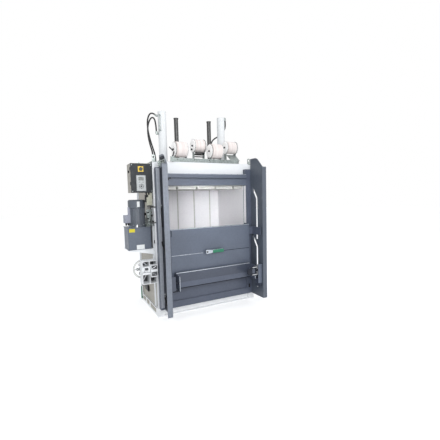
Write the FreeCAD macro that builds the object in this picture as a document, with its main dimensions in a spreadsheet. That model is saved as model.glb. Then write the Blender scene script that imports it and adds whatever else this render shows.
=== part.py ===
import FreeCAD, Part
import math
import os
import re
import Sketcher

# Vertical recycling baler. Millimetres, +Z up, +X to the right, +Y to the back.
# The origin is the centre of the base frame's footprint on the floor.
# In the functions below y counts from the plane of the frame's front.
SIZES = {
    # welded frame
    "frame_width": 1530,
    "frame_depth": 925,
    "base_height": 115,
    "base_beam": 90,
    "base_recess": 40,
    "base_lip": 14,
    "head_bottom": 1904,
    "head_top": 2064,
    "head_plate": 12,
    "post_depth": 66,
    "post_width": 150,
    "post_box": 50,
    "post_wall": 8,
    "rear_post_width": 100,
    "header_sheet": 6,
    "header_return": 30,
    "side_zone": 165,
    "back_zone": 125,
    "chamber_width": "=frame_width - 2 * side_zone",
    "chamber_depth": "=frame_depth - back_zone",
    "wall_sheet": 8,
    "skin_setback": 6,
    "rib_height": 50,
    "rib_pitch": 420,
    "rib_start": 330,
    "floor_thickness": 35,
    "groove_width": 22,
    "groove_depth": 15,
    "strap_pitch": 290,
    "slot_width": 24,
    "slot_foot": 60,
    "slot_head": 160,
    "back_rib_width": 60,
    "back_rib_depth": 70,
    "lug_width": 42,
    "lug_height": 86,
    "lug_sheet": 12,
    "lug_hole": 30,
    "running_gap": 0.3,
    "fit_gap": 0.1,
    # cylinders and ram
    "cylinder_across": 475,
    "cylinder_back": 420,
    "cylinder_length": 745,
    "cylinder_outer": 118,
    "cylinder_bore": 90,
    "cylinder_gland": 30,
    "cylinder_cap": 22,
    "mount_flange": 170,
    "flange_thickness": 18,
    "bolt_circle": 146,
    "bolt_across": 24,
    "bolt_head": 10,
    "rod_diameter": 60,
    "piston_height": 40,
    "piston_top_gap": 12,
    "foot_diameter": 110,
    "foot_height": 15,
    "guide_across": 265,
    "guide_diameter": 62,
    "guide_bore": 50,
    "guide_rise": 676,
    "guide_top": "=head_top + guide_rise",
    "guide_cap_diameter": 72,
    "guide_cap": 12,
    "bush_diameter": 90,
    "bush_flange": 120,
    "bush_flange_height": 14,
    "bush_drop": 40,
    "bush_rise": 30,
    "ram_bottom": 1700,
    "ram_thickness": 50,
    "ram_side_gap": 8,
    "ram_end_gap": 14,
    "ram_notch": 26,
    "ram_notch_height": 32,
    "ram_beam_width": 130,
    "ram_beam_height": 120,
    "ram_web": 12,
    "ram_rib_inset": 40,
    # strap reels
    "front_reel_radius": 102,
    "back_reel_radius": 90,
    "reel_width": 150,
    "axle_radius": 8,
    "axle_knob": 12,
    "axle_knob_length": 22,
    "cheek_sheet": 3,
    "cheek_gap": 4,
    "cheek_radius": 94,
    "cheek_foot": 70,
    "front_row": 30,
    "front_row_height": 166,
    "back_row": 215,
    "back_row_height": 261,
    "front_reel_left": -368,
    "front_reel_right": 162,
    "back_reel_left": -13,
    "back_reel_right": 514,
    "rack_rail": 30,
    "rack_rail_height": 52,
    "rack_sheet": 3,
    "rack_overhang": 24,
    "rack_right": 535,
    "tray_reach": 12,
    "tray_high": 151,
    "guide_bar_drop": 122,
    "guide_bar_step": 34,
    # bale door
    "door_inset": 19,
    "door_width": "=frame_width - 2 * door_inset",
    "door_front": -76,
    "door_back": -8,
    "door_bottom": 116,
    "door_top": 1980,
    "door_tube_wall": 6,
    "door_sill": 90,
    "door_rail": 70,
    "feed_sill": 1150,
    "panel_setback": 16,
    "panel_sheet": 6,
    "beam_bottom": 1747,
    "beam_lip": 24,
    "beam_lip_height": 54,
    "beam_gutter": 12,
    "guide_strip": 45,
    "guide_strip_sheet": 6,
    "wing_inset": 80,
    "wing_inner": "=frame_width / 2 - wing_inset",
    "wing_sheet": 8,
    "wing_reach": -374,
    "wing_flange": 66,
    "wing_foot": 114,
    "wing_shoulder": 1992,
    "wing_peak": 2128,
    "wing_peak_front": -205,
    "wing_peak_slope": -248,
    "wing_slope_drop": 14,
    "hinge_overhang": 20,
    "hinge_reach": "=frame_width / 2 + hinge_overhang",
    "hinge_depth": -42,
    "hinge_barrel": 36,
    "hinge_pin": 18,
    "hinge_leaf": 10,
    "hinge_height": 130,
    "hinge_low": 300,
    "hinge_pitch": 720,
    # feed door and its cam track
    "roller_back": -229,
    "roller_high": 1085,
    "roller_spacing": 711,
    "roller_radius": 18.7,
    "roller_stub": 12,
    "roller_length": 20,
    "track_drop": 110,
    "track_straight": 472,
    "track_close": 90,
    "track_lift": 134,
    "track_bend": 70,
    "feed_side_gap": 80,
    "feed_half": "=wing_inner - feed_side_gap",
    "feed_front": -140,
    "feed_fold_front": -147,
    "feed_back": -108,
    "feed_top": 1179,
    "feed_fold": 830,
    "feed_bottom": 420,
    "feed_sheet": 5,
    "box_inset": 40,
    "box_half": "=feed_half - box_inset",
    "box_front": -200,
    "box_low": 410,
    "box_high": 615,
    "box_wall": 5,
    "bracket_sheet": 8,
    "bracket_length": 112,
    "bracket_reach": "=roller_back - bracket_length",
    "bracket_half": 56,
    "bracket_gap": 13,
    "bracket_back": -88,
    "arm_low": 313,
    "arm_high": 592,
    "arm_depth": 86,
    "spacer_radius": 11,
    "spacer_low": 412,
    "spacer_high": 520,
    "stub_head": 17,
    "handle_pivot_across": -104,
    "handle_height": 845,
    "handle_stand": 26,
    "handle_arm": 9,
    "handle_grip": 14,
    "handle_grip_start": 75,
    "handle_reach": 259,
    "handle_boss": 17,
    "handle_plate": 62,
    "handle_plate_sheet": 10,
    # door lock
    "lock_offset": 150,
    "lock_across": "=-frame_width / 2 - lock_offset",
    "lock_height": 655,
    "lock_cover": 42,
    "lock_left": "=lock_across - lock_cover",
    "lock_front": -20,
    "lock_back": 110,
    "lock_drop": 177,
    "lock_rise": 127,
    "shelf_rise": 45,
    "lock_low": "=lock_height - lock_drop",
    "lock_high": "=lock_height + lock_rise",
    "lock_shelf": "=lock_height + shelf_rise",
    "lock_sheet": 8,
    "divider_offset": 53,
    "lock_divider": "=lock_across + divider_offset",
    "gear_module": 3,
    "gear_teeth": 10,
    "gear_width": 24,
    "bolt_depth": -40,
    "bolt_height": 24,
    "bolt_entry": 16,
    "bolt_overrun": 47,
    "bolt_nose": "=-frame_width / 2 + bolt_entry",
    "bolt_tail": "=lock_across - bolt_overrun",
    "bolt_play": 0.3,
    "keeper_depth": 45,
    "guide_block_front": -70,
    "guide_block_offset": 63,
    "guide_block_inset": 3,
    "guide_block_half": 80,
    "guide_block_left": "=lock_across + guide_block_offset",
    "guide_block_right": "=-frame_width / 2 - guide_block_inset",
    "guide_block_low": "=lock_height - guide_block_half",
    "guide_block_high": "=lock_height + guide_block_half",
    "shaft_radius": 9,
    "wheel_plane": 135,
    "wheel_radius": 119,
    "rim_radius": 10,
    "wheel_hub": 26,
    "wheel_hub_length": 36,
    "spoke_radius": 7,
    # electrical cabinet
    "cabinet_width": 272,
    "cabinet_front": 10,
    "cabinet_depth": 215,
    "cabinet_drop": 400,
    "cabinet_height": 365,
    "cabinet_low": "=head_top - cabinet_drop",
    "cabinet_high": "=cabinet_low + cabinet_height",
    "cabinet_sheet": 3,
    "lid_depth": 18,
    "lid_hinge": 5,
    "lid_hinge_height": 45,
    "panel_left": 66,
    "panel_width": 119,
    "panel_low": 19,
    "panel_height": 200,
    "panel_plate": 4,
    "key_radius": 7,
    "key_ring": 26,
    "switch_across": 125,
    "switch_drop": 69,
    "switch_plate": 68,
    "switch_radius": 21,
    "switch_depth": 26,
    # hydraulic power pack
    "tank_offset": 320,
    "tank_left": "=-frame_width / 2 - tank_offset",
    "tank_width": 300,
    "tank_front": 100,
    "tank_depth": 290,
    "tank_low": 920,
    "tank_height": 285,
    "tank_lid": 10,
    "tank_lip": 6,
    "tank_round": 14,
    "shelf_sheet": 8,
    "gusset_drop": 70,
    "motor_inset": 153,
    "motor_across": "=tank_left + motor_inset",
    "motor_back": 245,
    "motor_radius": 92,
    "fin_radius": 108,
    "fin_count": 20,
    "fin_sheet": 4,
    "motor_foot": 24,
    "motor_length": 250,
    "cowl_radius": 112,
    "cowl_height": 86,
    "cowl_sheet": 3,
    "cowl_round": 20,
    "cowl_slots": 8,
    "fan_radius": 88,
    "fan_blades": 6,
    "terminal_width": 80,
    "terminal_depth": 100,
    "terminal_height": 104,
    "terminal_rise": 56,
    "valve_inset": 243,
    "valve_left": "=tank_left + valve_inset",
    "valve_width": 52,
    "valve_front": 112,
    "valve_depth": 66,
    "valve_height": 120,
    "coil_radius": 19,
    "coil_length": 92,
    "pipe_radius": 7,
    "pipe_offset": 11,
    "pipe_across": "=-frame_width / 2 - pipe_offset",
    "pipe_high": 1484,
    "pipe_low": 1288,
    "pipe_back": 250,
    "conduit_back": 62,
    "conduit_low": 990,
    "duct_width": 72,
    "duct_offset": 6,
    "duct_front": 40,
    "duct_depth": 40,
    "duct_length": 164,
    "duct_sheet": 3,
    # ejector lever
    "ejector_inset": 75,
    "ejector_back": "=frame_depth - ejector_inset",
    "ejector_pivot": 196,
    "ejector_length": 178,
    "ejector_width": 30,
    "ejector_sheet": 12,
    "ejector_pin": 6,
    "ear_sheet": 8,
    "ear_width": 130,
    # hoses
    "hose_diameter": 22,
    "fitting_radius": 15,
    "fitting_length": 30,
    "return_foot": 476,
    "return_length": 210,
    "return_low": "=head_top + return_foot",
    "return_high": "=return_low + return_length",
}

doc = FreeCAD.newDocument("baler")
sheet = doc.addObject("Spreadsheet::Sheet", "Sizes")
for row, alias in enumerate(SIZES, start=1):
    sheet.set(f"A{row}", alias)
    sheet.setAlias(f"B{row}", alias)
for row, content in enumerate(SIZES.values(), start=1):
    sheet.set(f"B{row}", str(content))
doc.recompute()

NODES = []
SIDES = (("left", -1), ("right", 1))
STRAPS = (-1.5, -0.5, 0.5, 1.5)
AXIS_TURNS = {
    "X": FreeCAD.Rotation(FreeCAD.Vector(0, 1, 0), 90),
    "Y": FreeCAD.Rotation(FreeCAD.Vector(1, 0, 0), -90),
    "Z": FreeCAD.Rotation(),
}


def size(alias):
    """Value of one cell of the sheet, for shapes that are worked out in code."""
    return float(getattr(sheet, alias))


def formula(text):
    """Expression whose aliases point at the sheet."""
    def cell(word):
        return "Sizes." + word.group() if word.group() in SIZES else word.group()
    return re.sub(r"[a-z][a-z_0-9]*", cell, str(text))


def bind(item, name, text):
    item.setExpression(name, formula(text))


def seat(item, x, y, z, axis="Z"):
    """Place an object, with y counted from the frame's front."""
    item.Placement = FreeCAD.Placement(FreeCAD.Vector(), AXIS_TURNS[axis])
    bind(item, "Placement.Base.x", x)
    bind(item, "Placement.Base.y", f"{y} - frame_depth / 2")
    bind(item, "Placement.Base.z", z)
    return item


def node(item, name):
    item.Label = name
    NODES.append(item)
    return item


def span(sign, inner, outer):
    """Range of x on one side, from its distances to the middle plane."""
    return (inner, outer) if sign > 0 else (f"-({outer})", f"-({inner})")


def block(name, x, y, z):
    """Block between a low and a high expression along each axis."""
    solid = doc.addObject("Part::Box", name)
    bind(solid, "Length", f"({x[1]}) - ({x[0]})")
    bind(solid, "Width", f"({y[1]}) - ({y[0]})")
    bind(solid, "Height", f"({z[1]}) - ({z[0]})")
    return seat(solid, f"({x[0]})", f"({y[0]})", f"({z[0]})")


def rod(name, radius, length, axis, x, y, z):
    """Round bar that starts at a point and runs along an axis."""
    solid = doc.addObject("Part::Cylinder", name)
    bind(solid, "Radius", radius)
    bind(solid, "Height", length)
    return seat(solid, x, y, z, axis)


def fuse(name, parts):
    joined = doc.addObject("Part::MultiFuse", name)
    joined.Shapes = parts
    joined.Refine = True
    return joined


def group(name, parts):
    gathered = doc.addObject("Part::Compound", name)
    gathered.Links = parts
    return gathered


def cut(name, base, tools):
    result = doc.addObject("Part::Cut", name)
    result.Base = base
    result.Tool = tools[0] if len(tools) == 1 else fuse(name + "_tools", tools)
    return result


def origin_plane(body, role):
    return next(item for item in body.Origin.OriginFeatures if item.Role == role)


def outline(body, role, corners, name):
    """Closed sketch of straight lines whose corners are pinned by expressions."""
    sketch = body.newObject("Sketcher::SketchObject", name)
    sketch.AttachmentSupport = [(origin_plane(body, role), "")]
    sketch.MapMode = "FlatFace"
    count = len(corners)
    turn = 2 * math.pi / count
    ring = [FreeCAD.Vector(math.cos(turn * k), math.sin(turn * k), 0) for k in range(count)]
    for k in range(count):
        sketch.addGeometry(Part.LineSegment(ring[k], ring[(k + 1) % count]), False)
    for k in range(count):
        sketch.addConstraint(Sketcher.Constraint("Coincident", k, 2, (k + 1) % count, 1))
    for k, (across, up) in enumerate(corners):
        pin = sketch.addConstraint(Sketcher.Constraint("DistanceX", -1, 1, k, 1, ring[k].x))
        bind(sketch, f"Constraints[{pin}]", across)
        pin = sketch.addConstraint(Sketcher.Constraint("DistanceY", -1, 1, k, 1, ring[k].y))
        bind(sketch, f"Constraints[{pin}]", up)
    return sketch


def profile(name, role, corners, length, x, y, z):
    """Outline on a plane, padded to a length: XY along +Z, YZ along +X, XZ along -Y."""
    body = doc.addObject("PartDesign::Body", name)
    pad = body.newObject("PartDesign::Pad", name + "_pad")
    pad.Profile = outline(body, role, corners, name + "_outline")
    bind(pad, "Length", length)
    body.Tip = pad
    return seat(body, x, y, z)


def turned(name, corners, x, y, z, axis="Z"):
    """Half section of (radius, height along the axis), turned about the axis."""
    body = doc.addObject("PartDesign::Body", name)
    turn = body.newObject("PartDesign::Revolution", name + "_turn")
    section = outline(body, "XZ_Plane", corners, name + "_section")
    turn.Profile = section
    turn.ReferenceAxis = (section, ["V_Axis"])
    turn.Angle = 360
    body.Tip = turn
    return seat(body, x, y, z, axis)


# ---------------------------------------------------------------- welded frame


def base_frame():
    half = "frame_width / 2"
    tall = ("0", "base_height")
    beams = [block("base_side", span(sign, f"{half} - base_beam", half), ("0", "frame_depth"), tall)
             for _, sign in SIDES]
    for low in ("0", "frame_depth / 2 - base_beam / 2", "frame_depth - base_beam"):
        beams.append(block("base_cross", (f"-{half}", half), (low, f"{low} + base_beam"), tall))
    ear_face = "-frame_width / 2 - ear_sheet"
    plate = block("ejector_ear", (ear_face, f"-{half}"),
                  ("ejector_back - ear_width / 2", "ejector_back + ear_width / 2"),
                  ("base_height / 2", "ejector_pivot + ejector_width"))
    bore = rod("ejector_bore", "ejector_pin + fit_gap", "3 * ear_sheet", "X",
               f"{ear_face} - ear_sheet", "ejector_back", "ejector_pivot")
    pivot = cut("ejector_bracket", plate, [bore])
    web = f"{half} - base_beam"
    recess = block("base_channel", (f"-({web})", web), ("-base_lip", "base_recess"),
                   ("base_lip", "base_height - base_lip"))
    return node(cut("base_frame", fuse("base_weldment", beams + [pivot]), [recess]), "base_frame")


def post_pair(name, corners):
    posts = []
    for side, sign in SIDES:
        shape = [(f"{sign} * ({across})", along) for across, along in corners]
        posts.append(profile(f"{name}_{side}", "XY_Plane", shape,
                             "head_top - head_plate - base_height", "0", "0", "base_height"))
    return posts


def frame_posts():
    outer = "frame_width / 2"
    inner = "frame_width / 2 - post_depth"
    web = inner + " + post_wall"
    box = "post_width - post_box"
    front = post_pair("front_post", [
        (outer, "0"), (outer, "post_wall"), (web, "post_wall"), (web, box),
        (outer, box), (outer, "post_width"), (inner, "post_width"), (inner, "0")])
    start = "frame_depth - rear_post_width"
    rear = post_pair("rear_post", [
        (outer, start), (outer, start + " + post_wall"), (web, start + " + post_wall"),
        (web, "frame_depth - post_wall"), (outer, "frame_depth - post_wall"),
        (outer, "frame_depth"), (inner, "frame_depth"), (inner, start)])
    return node(group("frame_posts", front + rear), "frame_posts")


def side_walls():
    inner = "chamber_width / 2"
    sheet_out = inner + " + wall_sheet"
    skin = "frame_width / 2 - skin_setback"
    between = ("post_width", "frame_depth - rear_post_width")
    for side, sign in SIDES:
        plate = block("wall_plate", span(sign, inner, sheet_out), ("0", "chamber_depth + wall_sheet"),
                      ("base_height", "head_bottom"))
        pieces = [plate, block("wall_skin", span(sign, f"{skin} - wall_sheet", skin), between,
                               ("base_height", "head_top"))]
        for step in range(4):
            low = f"rib_start + {step} * rib_pitch"
            pieces.append(block("wall_rib", span(sign, sheet_out, f"{skin} - wall_sheet"), between,
                                (low, f"{low} + rib_height")))
        node(fuse(f"side_wall_{side}", pieces), f"side_wall_{side}")


def rear_wall():
    half = "chamber_width / 2"
    face = "chamber_depth + wall_sheet"
    tall = ("base_height", "head_bottom")
    plate = block("rear_plate", (f"-({half})", half), ("chamber_depth", face), tall)
    back = (face, f"{face} + back_rib_depth")
    ribs = [block("rear_rib", (f"{place} * strap_pitch - back_rib_width / 2",
                               f"{place} * strap_pitch + back_rib_width / 2"), back, tall)
            for place in (-1, 0, 1)]
    ribs += [block("rear_edge", span(sign, f"{half} - back_rib_width / 2", half), back, tall)
             for _, sign in SIDES]
    slots = [block("strap_slot", (f"{place} * strap_pitch - slot_width / 2",
                                  f"{place} * strap_pitch + slot_width / 2"),
                   ("chamber_depth - wall_sheet", f"{face} + wall_sheet"),
                   ("base_height + slot_foot", "head_bottom - slot_head")) for place in STRAPS]
    return node(cut("rear_wall", fuse("rear_weldment", [plate] + ribs), slots), "rear_wall")


def chamber_floor():
    top = "base_height + floor_thickness"
    plate = block("floor_plate", ("-chamber_width / 2", "chamber_width / 2"), ("0", "chamber_depth"),
                  ("base_height", top))
    grooves = [block("strap_groove", (f"{place} * strap_pitch - groove_width / 2",
                                      f"{place} * strap_pitch + groove_width / 2"),
                     ("-wall_sheet", "chamber_depth + wall_sheet"),
                     (f"{top} - groove_depth", f"{top} + groove_depth")) for place in STRAPS]
    return node(cut("chamber_floor", plate, grooves), "chamber_floor")


def head_frame():
    half = "frame_width / 2 - post_depth"
    across = (f"-({half})", half)
    deep = ("header_return", "frame_depth")
    tall = ("head_bottom", "head_top")
    plates = [block("head_top_plate", across, deep, ("head_top - head_plate", "head_top")),
              block("head_rear_web", across, ("frame_depth - head_plate", "frame_depth"), tall)]
    for place in ("header_return", "cylinder_back - ram_beam_width / 2",
                  "cylinder_back + ram_beam_width / 2"):
        plates.append(block("head_cross_web", across, (place, f"{place} + head_plate"), tall))
    plates += [block("head_side_web", span(sign, f"{half} - head_plate", half), deep, tall)
               for _, sign in SIDES]
    deeper = "2 * head_plate"
    holes = [rod("rod_hole", "rod_diameter / 2 + head_plate", deeper, "Z",
                 f"{sign} * cylinder_across", "cylinder_back", f"head_top - {deeper}")
             for _, sign in SIDES]
    holes += [rod("bush_hole", "bush_diameter / 2 + fit_gap", deeper, "Z",
                  f"{sign} * guide_across", "cylinder_back", f"head_top - {deeper}")
              for _, sign in SIDES]
    return node(cut("head_frame", fuse("head_weldment", plates), holes), "head_frame")


def header_panel():
    """Folded front sheet with a return at the top and at the bottom."""
    corners = [("0", "0"), ("header_return", "0"), ("header_return", "header_sheet"),
               ("header_sheet", "header_sheet"),
               ("header_sheet", "head_top - head_bottom - header_sheet"),
               ("header_return", "head_top - head_bottom - header_sheet"),
               ("header_return", "head_top - head_bottom"), ("0", "head_top - head_bottom")]
    half = "frame_width / 2 - post_depth"
    return node(profile("header_panel", "YZ_Plane", corners, f"2 * ({half})", f"-({half})", "0",
                        "head_bottom"), "header_panel")


def lifting_lugs():
    """Cap plate on each post with an upright eye."""
    lugs = []
    middle = "frame_width / 2 - post_depth / 2"
    for _, sign in SIDES:
        for low, high, back in (("0", "post_width", "header_return"),
                                ("frame_depth - rear_post_width", "frame_depth",
                                 "frame_depth - lug_width")):
            cap = block("post_cap", span(sign, "frame_width / 2 - post_depth", "frame_width / 2"),
                        (low, high), ("head_top - head_plate", "head_top"))
            corners = [(f"-lug_width / 2", "0"), ("lug_width / 2", "0"),
                       ("lug_width / 2", "lug_height - lug_sheet"),
                       ("lug_width / 2 - lug_sheet", "lug_height"),
                       ("lug_sheet - lug_width / 2", "lug_height"),
                       ("-lug_width / 2", "lug_height - lug_sheet")]
            plate = profile("lug_plate", "XZ_Plane", corners, "lug_sheet",
                            f"{sign} * ({middle})", f"{back} + lug_sheet", "head_top")
            eye = rod("lug_eye", "lug_hole / 2", "3 * lug_sheet", "Y", f"{sign} * ({middle})",
                      f"{back} - lug_sheet", "head_top + lug_height - lug_hole")
            lugs.append(fuse("lug", [cap, cut("lug_holed", plate, [eye])]))
    return node(group("lifting_lugs", lugs), "lifting_lugs")


# ------------------------------------------------------------- press cylinders


def cylinders():
    """Hollow barrels that stand on the head, each with its foot flange and gland."""
    throat = "rod_diameter / 2 + running_gap"
    corners = [(throat, "0"), ("mount_flange / 2", "0"), ("mount_flange / 2", "flange_thickness"),
               ("cylinder_outer / 2", "flange_thickness"), ("cylinder_outer / 2", "cylinder_length"),
               ("0", "cylinder_length"), ("0", "cylinder_length - cylinder_cap"),
               ("cylinder_bore / 2", "cylinder_length - cylinder_cap"),
               ("cylinder_bore / 2", "cylinder_gland"), (throat, "cylinder_gland")]
    barrels = [turned(f"cylinder_{side}", corners, f"{sign} * cylinder_across", "cylinder_back",
                      "head_top") for side, sign in SIDES]
    return node(group("cylinders", barrels), "cylinders")


def cylinder_bolts():
    heads = []
    for _, sign in SIDES:
        for step in range(4):
            angle = math.radians(45 + 90 * step)
            head = doc.addObject("Part::Prism", "bolt_head_prism")
            head.Polygon = 6
            bind(head, "Circumradius", "bolt_across / 2 / cos(30)")
            bind(head, "Height", "bolt_head")
            seat(head, f"{sign} * cylinder_across + bolt_circle / 2 * {math.cos(angle):.6f}",
                 f"cylinder_back + bolt_circle / 2 * {math.sin(angle):.6f}",
                 "head_top + flange_thickness")
            heads.append(head)
    return node(group("cylinder_bolts", heads), "cylinder_bolts")


def guide_bushes():
    bore = "guide_diameter / 2 + running_gap"
    corners = [(bore, "-bush_drop"), ("bush_diameter / 2", "-bush_drop"), ("bush_diameter / 2", "0"),
               ("bush_flange / 2", "0"), ("bush_flange / 2", "bush_flange_height"),
               ("bush_diameter / 2", "bush_flange_height"), ("bush_diameter / 2", "bush_rise"),
               (bore, "bush_rise")]
    bushes = [turned(f"bush_{side}", corners, f"{sign} * guide_across", "cylinder_back", "head_top")
              for side, sign in SIDES]
    return node(group("guide_bushes", bushes), "guide_bushes")


def ram():
    """Press plate with strap notches, its rods in the cylinders and its guide tubes."""
    half = "chamber_width / 2 - ram_side_gap"
    top = "ram_bottom + ram_thickness"
    crown = f"{top} + ram_beam_height"
    deep = ("ram_end_gap", "chamber_depth - ram_end_gap")
    pieces = [block("ram_slab", (f"-({half})", half), deep, ("ram_bottom", top))]
    edge = f"{half} - ram_rib_inset"
    near = "cylinder_back - ram_beam_width / 2"
    far = "cylinder_back + ram_beam_width / 2"
    for low in (near, f"{far} - ram_web"):
        pieces.append(block("ram_web_plate", (f"-({edge})", edge), (low, f"{low} + ram_web"),
                            (top, crown)))
    pieces.append(block("ram_crown", (f"-({edge})", edge), (near, far),
                        (f"{crown} - ram_web", crown)))
    for place in ("-cylinder_across", "-guide_across", "guide_across", "cylinder_across"):
        rib = [("0", "0"), (f"{deep[1]} - ram_rib_inset - ({deep[0]} + ram_rib_inset)", "0"),
               (f"{far} - ({deep[0]} + ram_rib_inset)", "ram_beam_height - ram_web"),
               (f"{near} - ({deep[0]} + ram_rib_inset)", "ram_beam_height - ram_web")]
        pieces.append(profile("ram_rib", "YZ_Plane", rib, "ram_web", f"{place} - ram_web / 2",
                              f"{deep[0]} + ram_rib_inset", top))
    notches = [block("ram_notch_block", (f"{place} * strap_pitch - ram_notch / 2",
                                         f"{place} * strap_pitch + ram_notch / 2"),
                     ("-ram_end_gap", "chamber_depth + ram_end_gap"),
                     ("ram_bottom - ram_thickness", "ram_bottom + ram_notch_height"))
               for place in STRAPS]
    node(cut("ram_plate", fuse("ram_weldment", pieces), notches), "ram_plate")

    piston_top = "head_top + cylinder_length - cylinder_cap - piston_top_gap"
    rise = f"{piston_top} - ({crown})"
    rod_section = [("0", "0"), ("foot_diameter / 2", "0"), ("foot_diameter / 2", "foot_height"),
                   ("rod_diameter / 2", "foot_height"),
                   ("rod_diameter / 2", f"{rise} - piston_height"),
                   ("cylinder_bore / 2 - running_gap", f"{rise} - piston_height"),
                   ("cylinder_bore / 2 - running_gap", rise), ("0", rise)]
    rods = [turned(f"piston_rod_{side}", rod_section, f"{sign} * cylinder_across",
                   "cylinder_back", crown) for side, sign in SIDES]
    node(group("piston_rods", rods), "piston_rods")

    length = f"guide_top - ({crown})"
    tube_section = [("guide_bore / 2", "0"), ("foot_diameter / 2", "0"),
                    ("foot_diameter / 2", "foot_height"), ("guide_diameter / 2", "foot_height"),
                    ("guide_diameter / 2", f"{length} - guide_cap"),
                    ("guide_cap_diameter / 2", f"{length} - guide_cap"),
                    ("guide_cap_diameter / 2", length), ("0", length),
                    ("0", f"{length} - guide_cap"), ("guide_bore / 2", f"{length} - guide_cap")]
    tubes = [turned(f"guide_tube_{side}", tube_section, f"{sign} * guide_across",
                    "cylinder_back", crown) for side, sign in SIDES]
    node(group("guide_tubes", tubes), "guide_tubes")


# ----------------------------------------------------------------- strap reels

REELS = (
    ("strap_reel_1", "front_reel_left", "front_row", "front_row_height"),
    ("strap_reel_2", "back_reel_left", "back_row", "back_row_height"),
    ("strap_reel_3", "front_reel_right", "front_row", "front_row_height"),
    ("strap_reel_4", "back_reel_right", "back_row", "back_row_height"),
)


def strap_rack():
    """Angle rails along the head, two upright cheeks for each reel and a tray under the last."""
    out = "reel_width / 2 + cheek_gap"
    pieces = []
    for name, across, row, height in REELS:
        for side, sign in SIDES:
            low = f"{across} + {out}" if sign > 0 else f"{across} - ({out}) - cheek_sheet"
            pieces.append(block("cheek_leg", (low, f"{low} + cheek_sheet"),
                                (f"{row} - cheek_foot / 2", f"{row} + cheek_foot / 2"),
                                ("head_top", f"head_top + {height}")))
            pieces.append(rod("cheek_disc", "cheek_radius", "cheek_sheet", "X", low, row,
                              f"head_top + {height}"))
    ends = f"{out} + cheek_sheet + rack_overhang"
    for row, left, right in (("front_row", "front_reel_left", "rack_right"),
                             ("back_row", "back_reel_left", f"back_reel_right + {ends}")):
        for sign in (-1, 1):
            angle = [("0", "0"), (f"{-sign} * rack_rail", "0"), (f"{-sign} * rack_rail", "rack_sheet"),
                     (f"{-sign} * rack_sheet", "rack_sheet"),
                     (f"{-sign} * rack_sheet", "rack_rail_height"), ("0", "rack_rail_height")]
            pieces.append(profile("rack_angle", "YZ_Plane", angle, f"{right} - ({left} - ({ends}))",
                                  f"{left} - ({ends})", f"{row} + {sign} * cheek_foot / 2",
                                  "head_top"))
    for across in ("back_reel_left", "front_reel_right"):
        pieces.append(block("rack_tie", (f"{across} - rack_rail / 2", f"{across} + rack_rail / 2"),
                            ("front_row", "back_row"), ("head_top", "head_top + rack_sheet")))
    fall = "tray_high - rack_rail_height"
    slope = "back_row - front_row - cheek_foot + tray_reach"
    tray = [("0", "0"), (slope, fall), (slope, f"{fall} + rack_sheet"), ("0", "rack_sheet")]
    pieces.append(profile("rack_tray", "YZ_Plane", tray, f"2 * ({out})", f"back_reel_right - ({out})",
                          "front_row + cheek_foot / 2 - rack_sheet",
                          "head_top + rack_rail_height - rack_sheet"))
    axle_holes = [rod("axle_hole", "axle_radius + fit_gap", f"2 * ({ends})", "X",
                      f"{across} - ({ends})", row, f"head_top + {height}")
                  for _, across, row, height in REELS]
    return node(cut("strap_rack", fuse("rack_weldment", pieces), axle_holes), "strap_rack")


def reel_axles():
    """Axle of each reel with a knob at each end, and two bars under the left back reel."""
    inner = "reel_width / 2 + cheek_gap + cheek_sheet"
    axles = []
    for name, across, row, height in REELS:
        reach = f"{inner} + fit_gap + axle_knob_length"
        corners = [("0", f"-({reach})"), ("axle_knob", f"-({reach})"),
                   ("axle_knob", f"-({inner} + fit_gap)"), ("axle_radius", f"-({inner} + fit_gap)"),
                   ("axle_radius", f"{inner} + fit_gap"), ("axle_knob", f"{inner} + fit_gap"),
                   ("axle_knob", reach), ("0", reach)]
        axles.append(turned("axle_" + name, corners, across, row, f"head_top + {height}", "X"))
    length = "2 * (reel_width / 2 + cheek_gap)"
    for step in (0, 1):
        axles.append(rod("guide_bar", "axle_radius", length, "X",
                         "back_reel_left - reel_width / 2 - cheek_gap", "back_row - cheek_foot / 4",
                         f"head_top + back_row_height - guide_bar_drop - {step} * guide_bar_step"))
    return node(group("reel_axles", axles), "reel_axles")


def strap_reels():
    """Roll of strap on each axle, fuller in the front row."""
    for name, across, row, height in REELS:
        radius = "front_reel_radius" if row == "front_row" else "back_reel_radius"
        corners = [("axle_radius + running_gap", "-reel_width / 2"),
                   (radius, "-reel_width / 2"), (radius, "reel_width / 2"),
                   ("axle_radius + running_gap", "reel_width / 2")]
        node(turned(name, corners, across, row, f"head_top + {height}", "X"), name)


# ------------------------------------------------------------------- bale door


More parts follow.
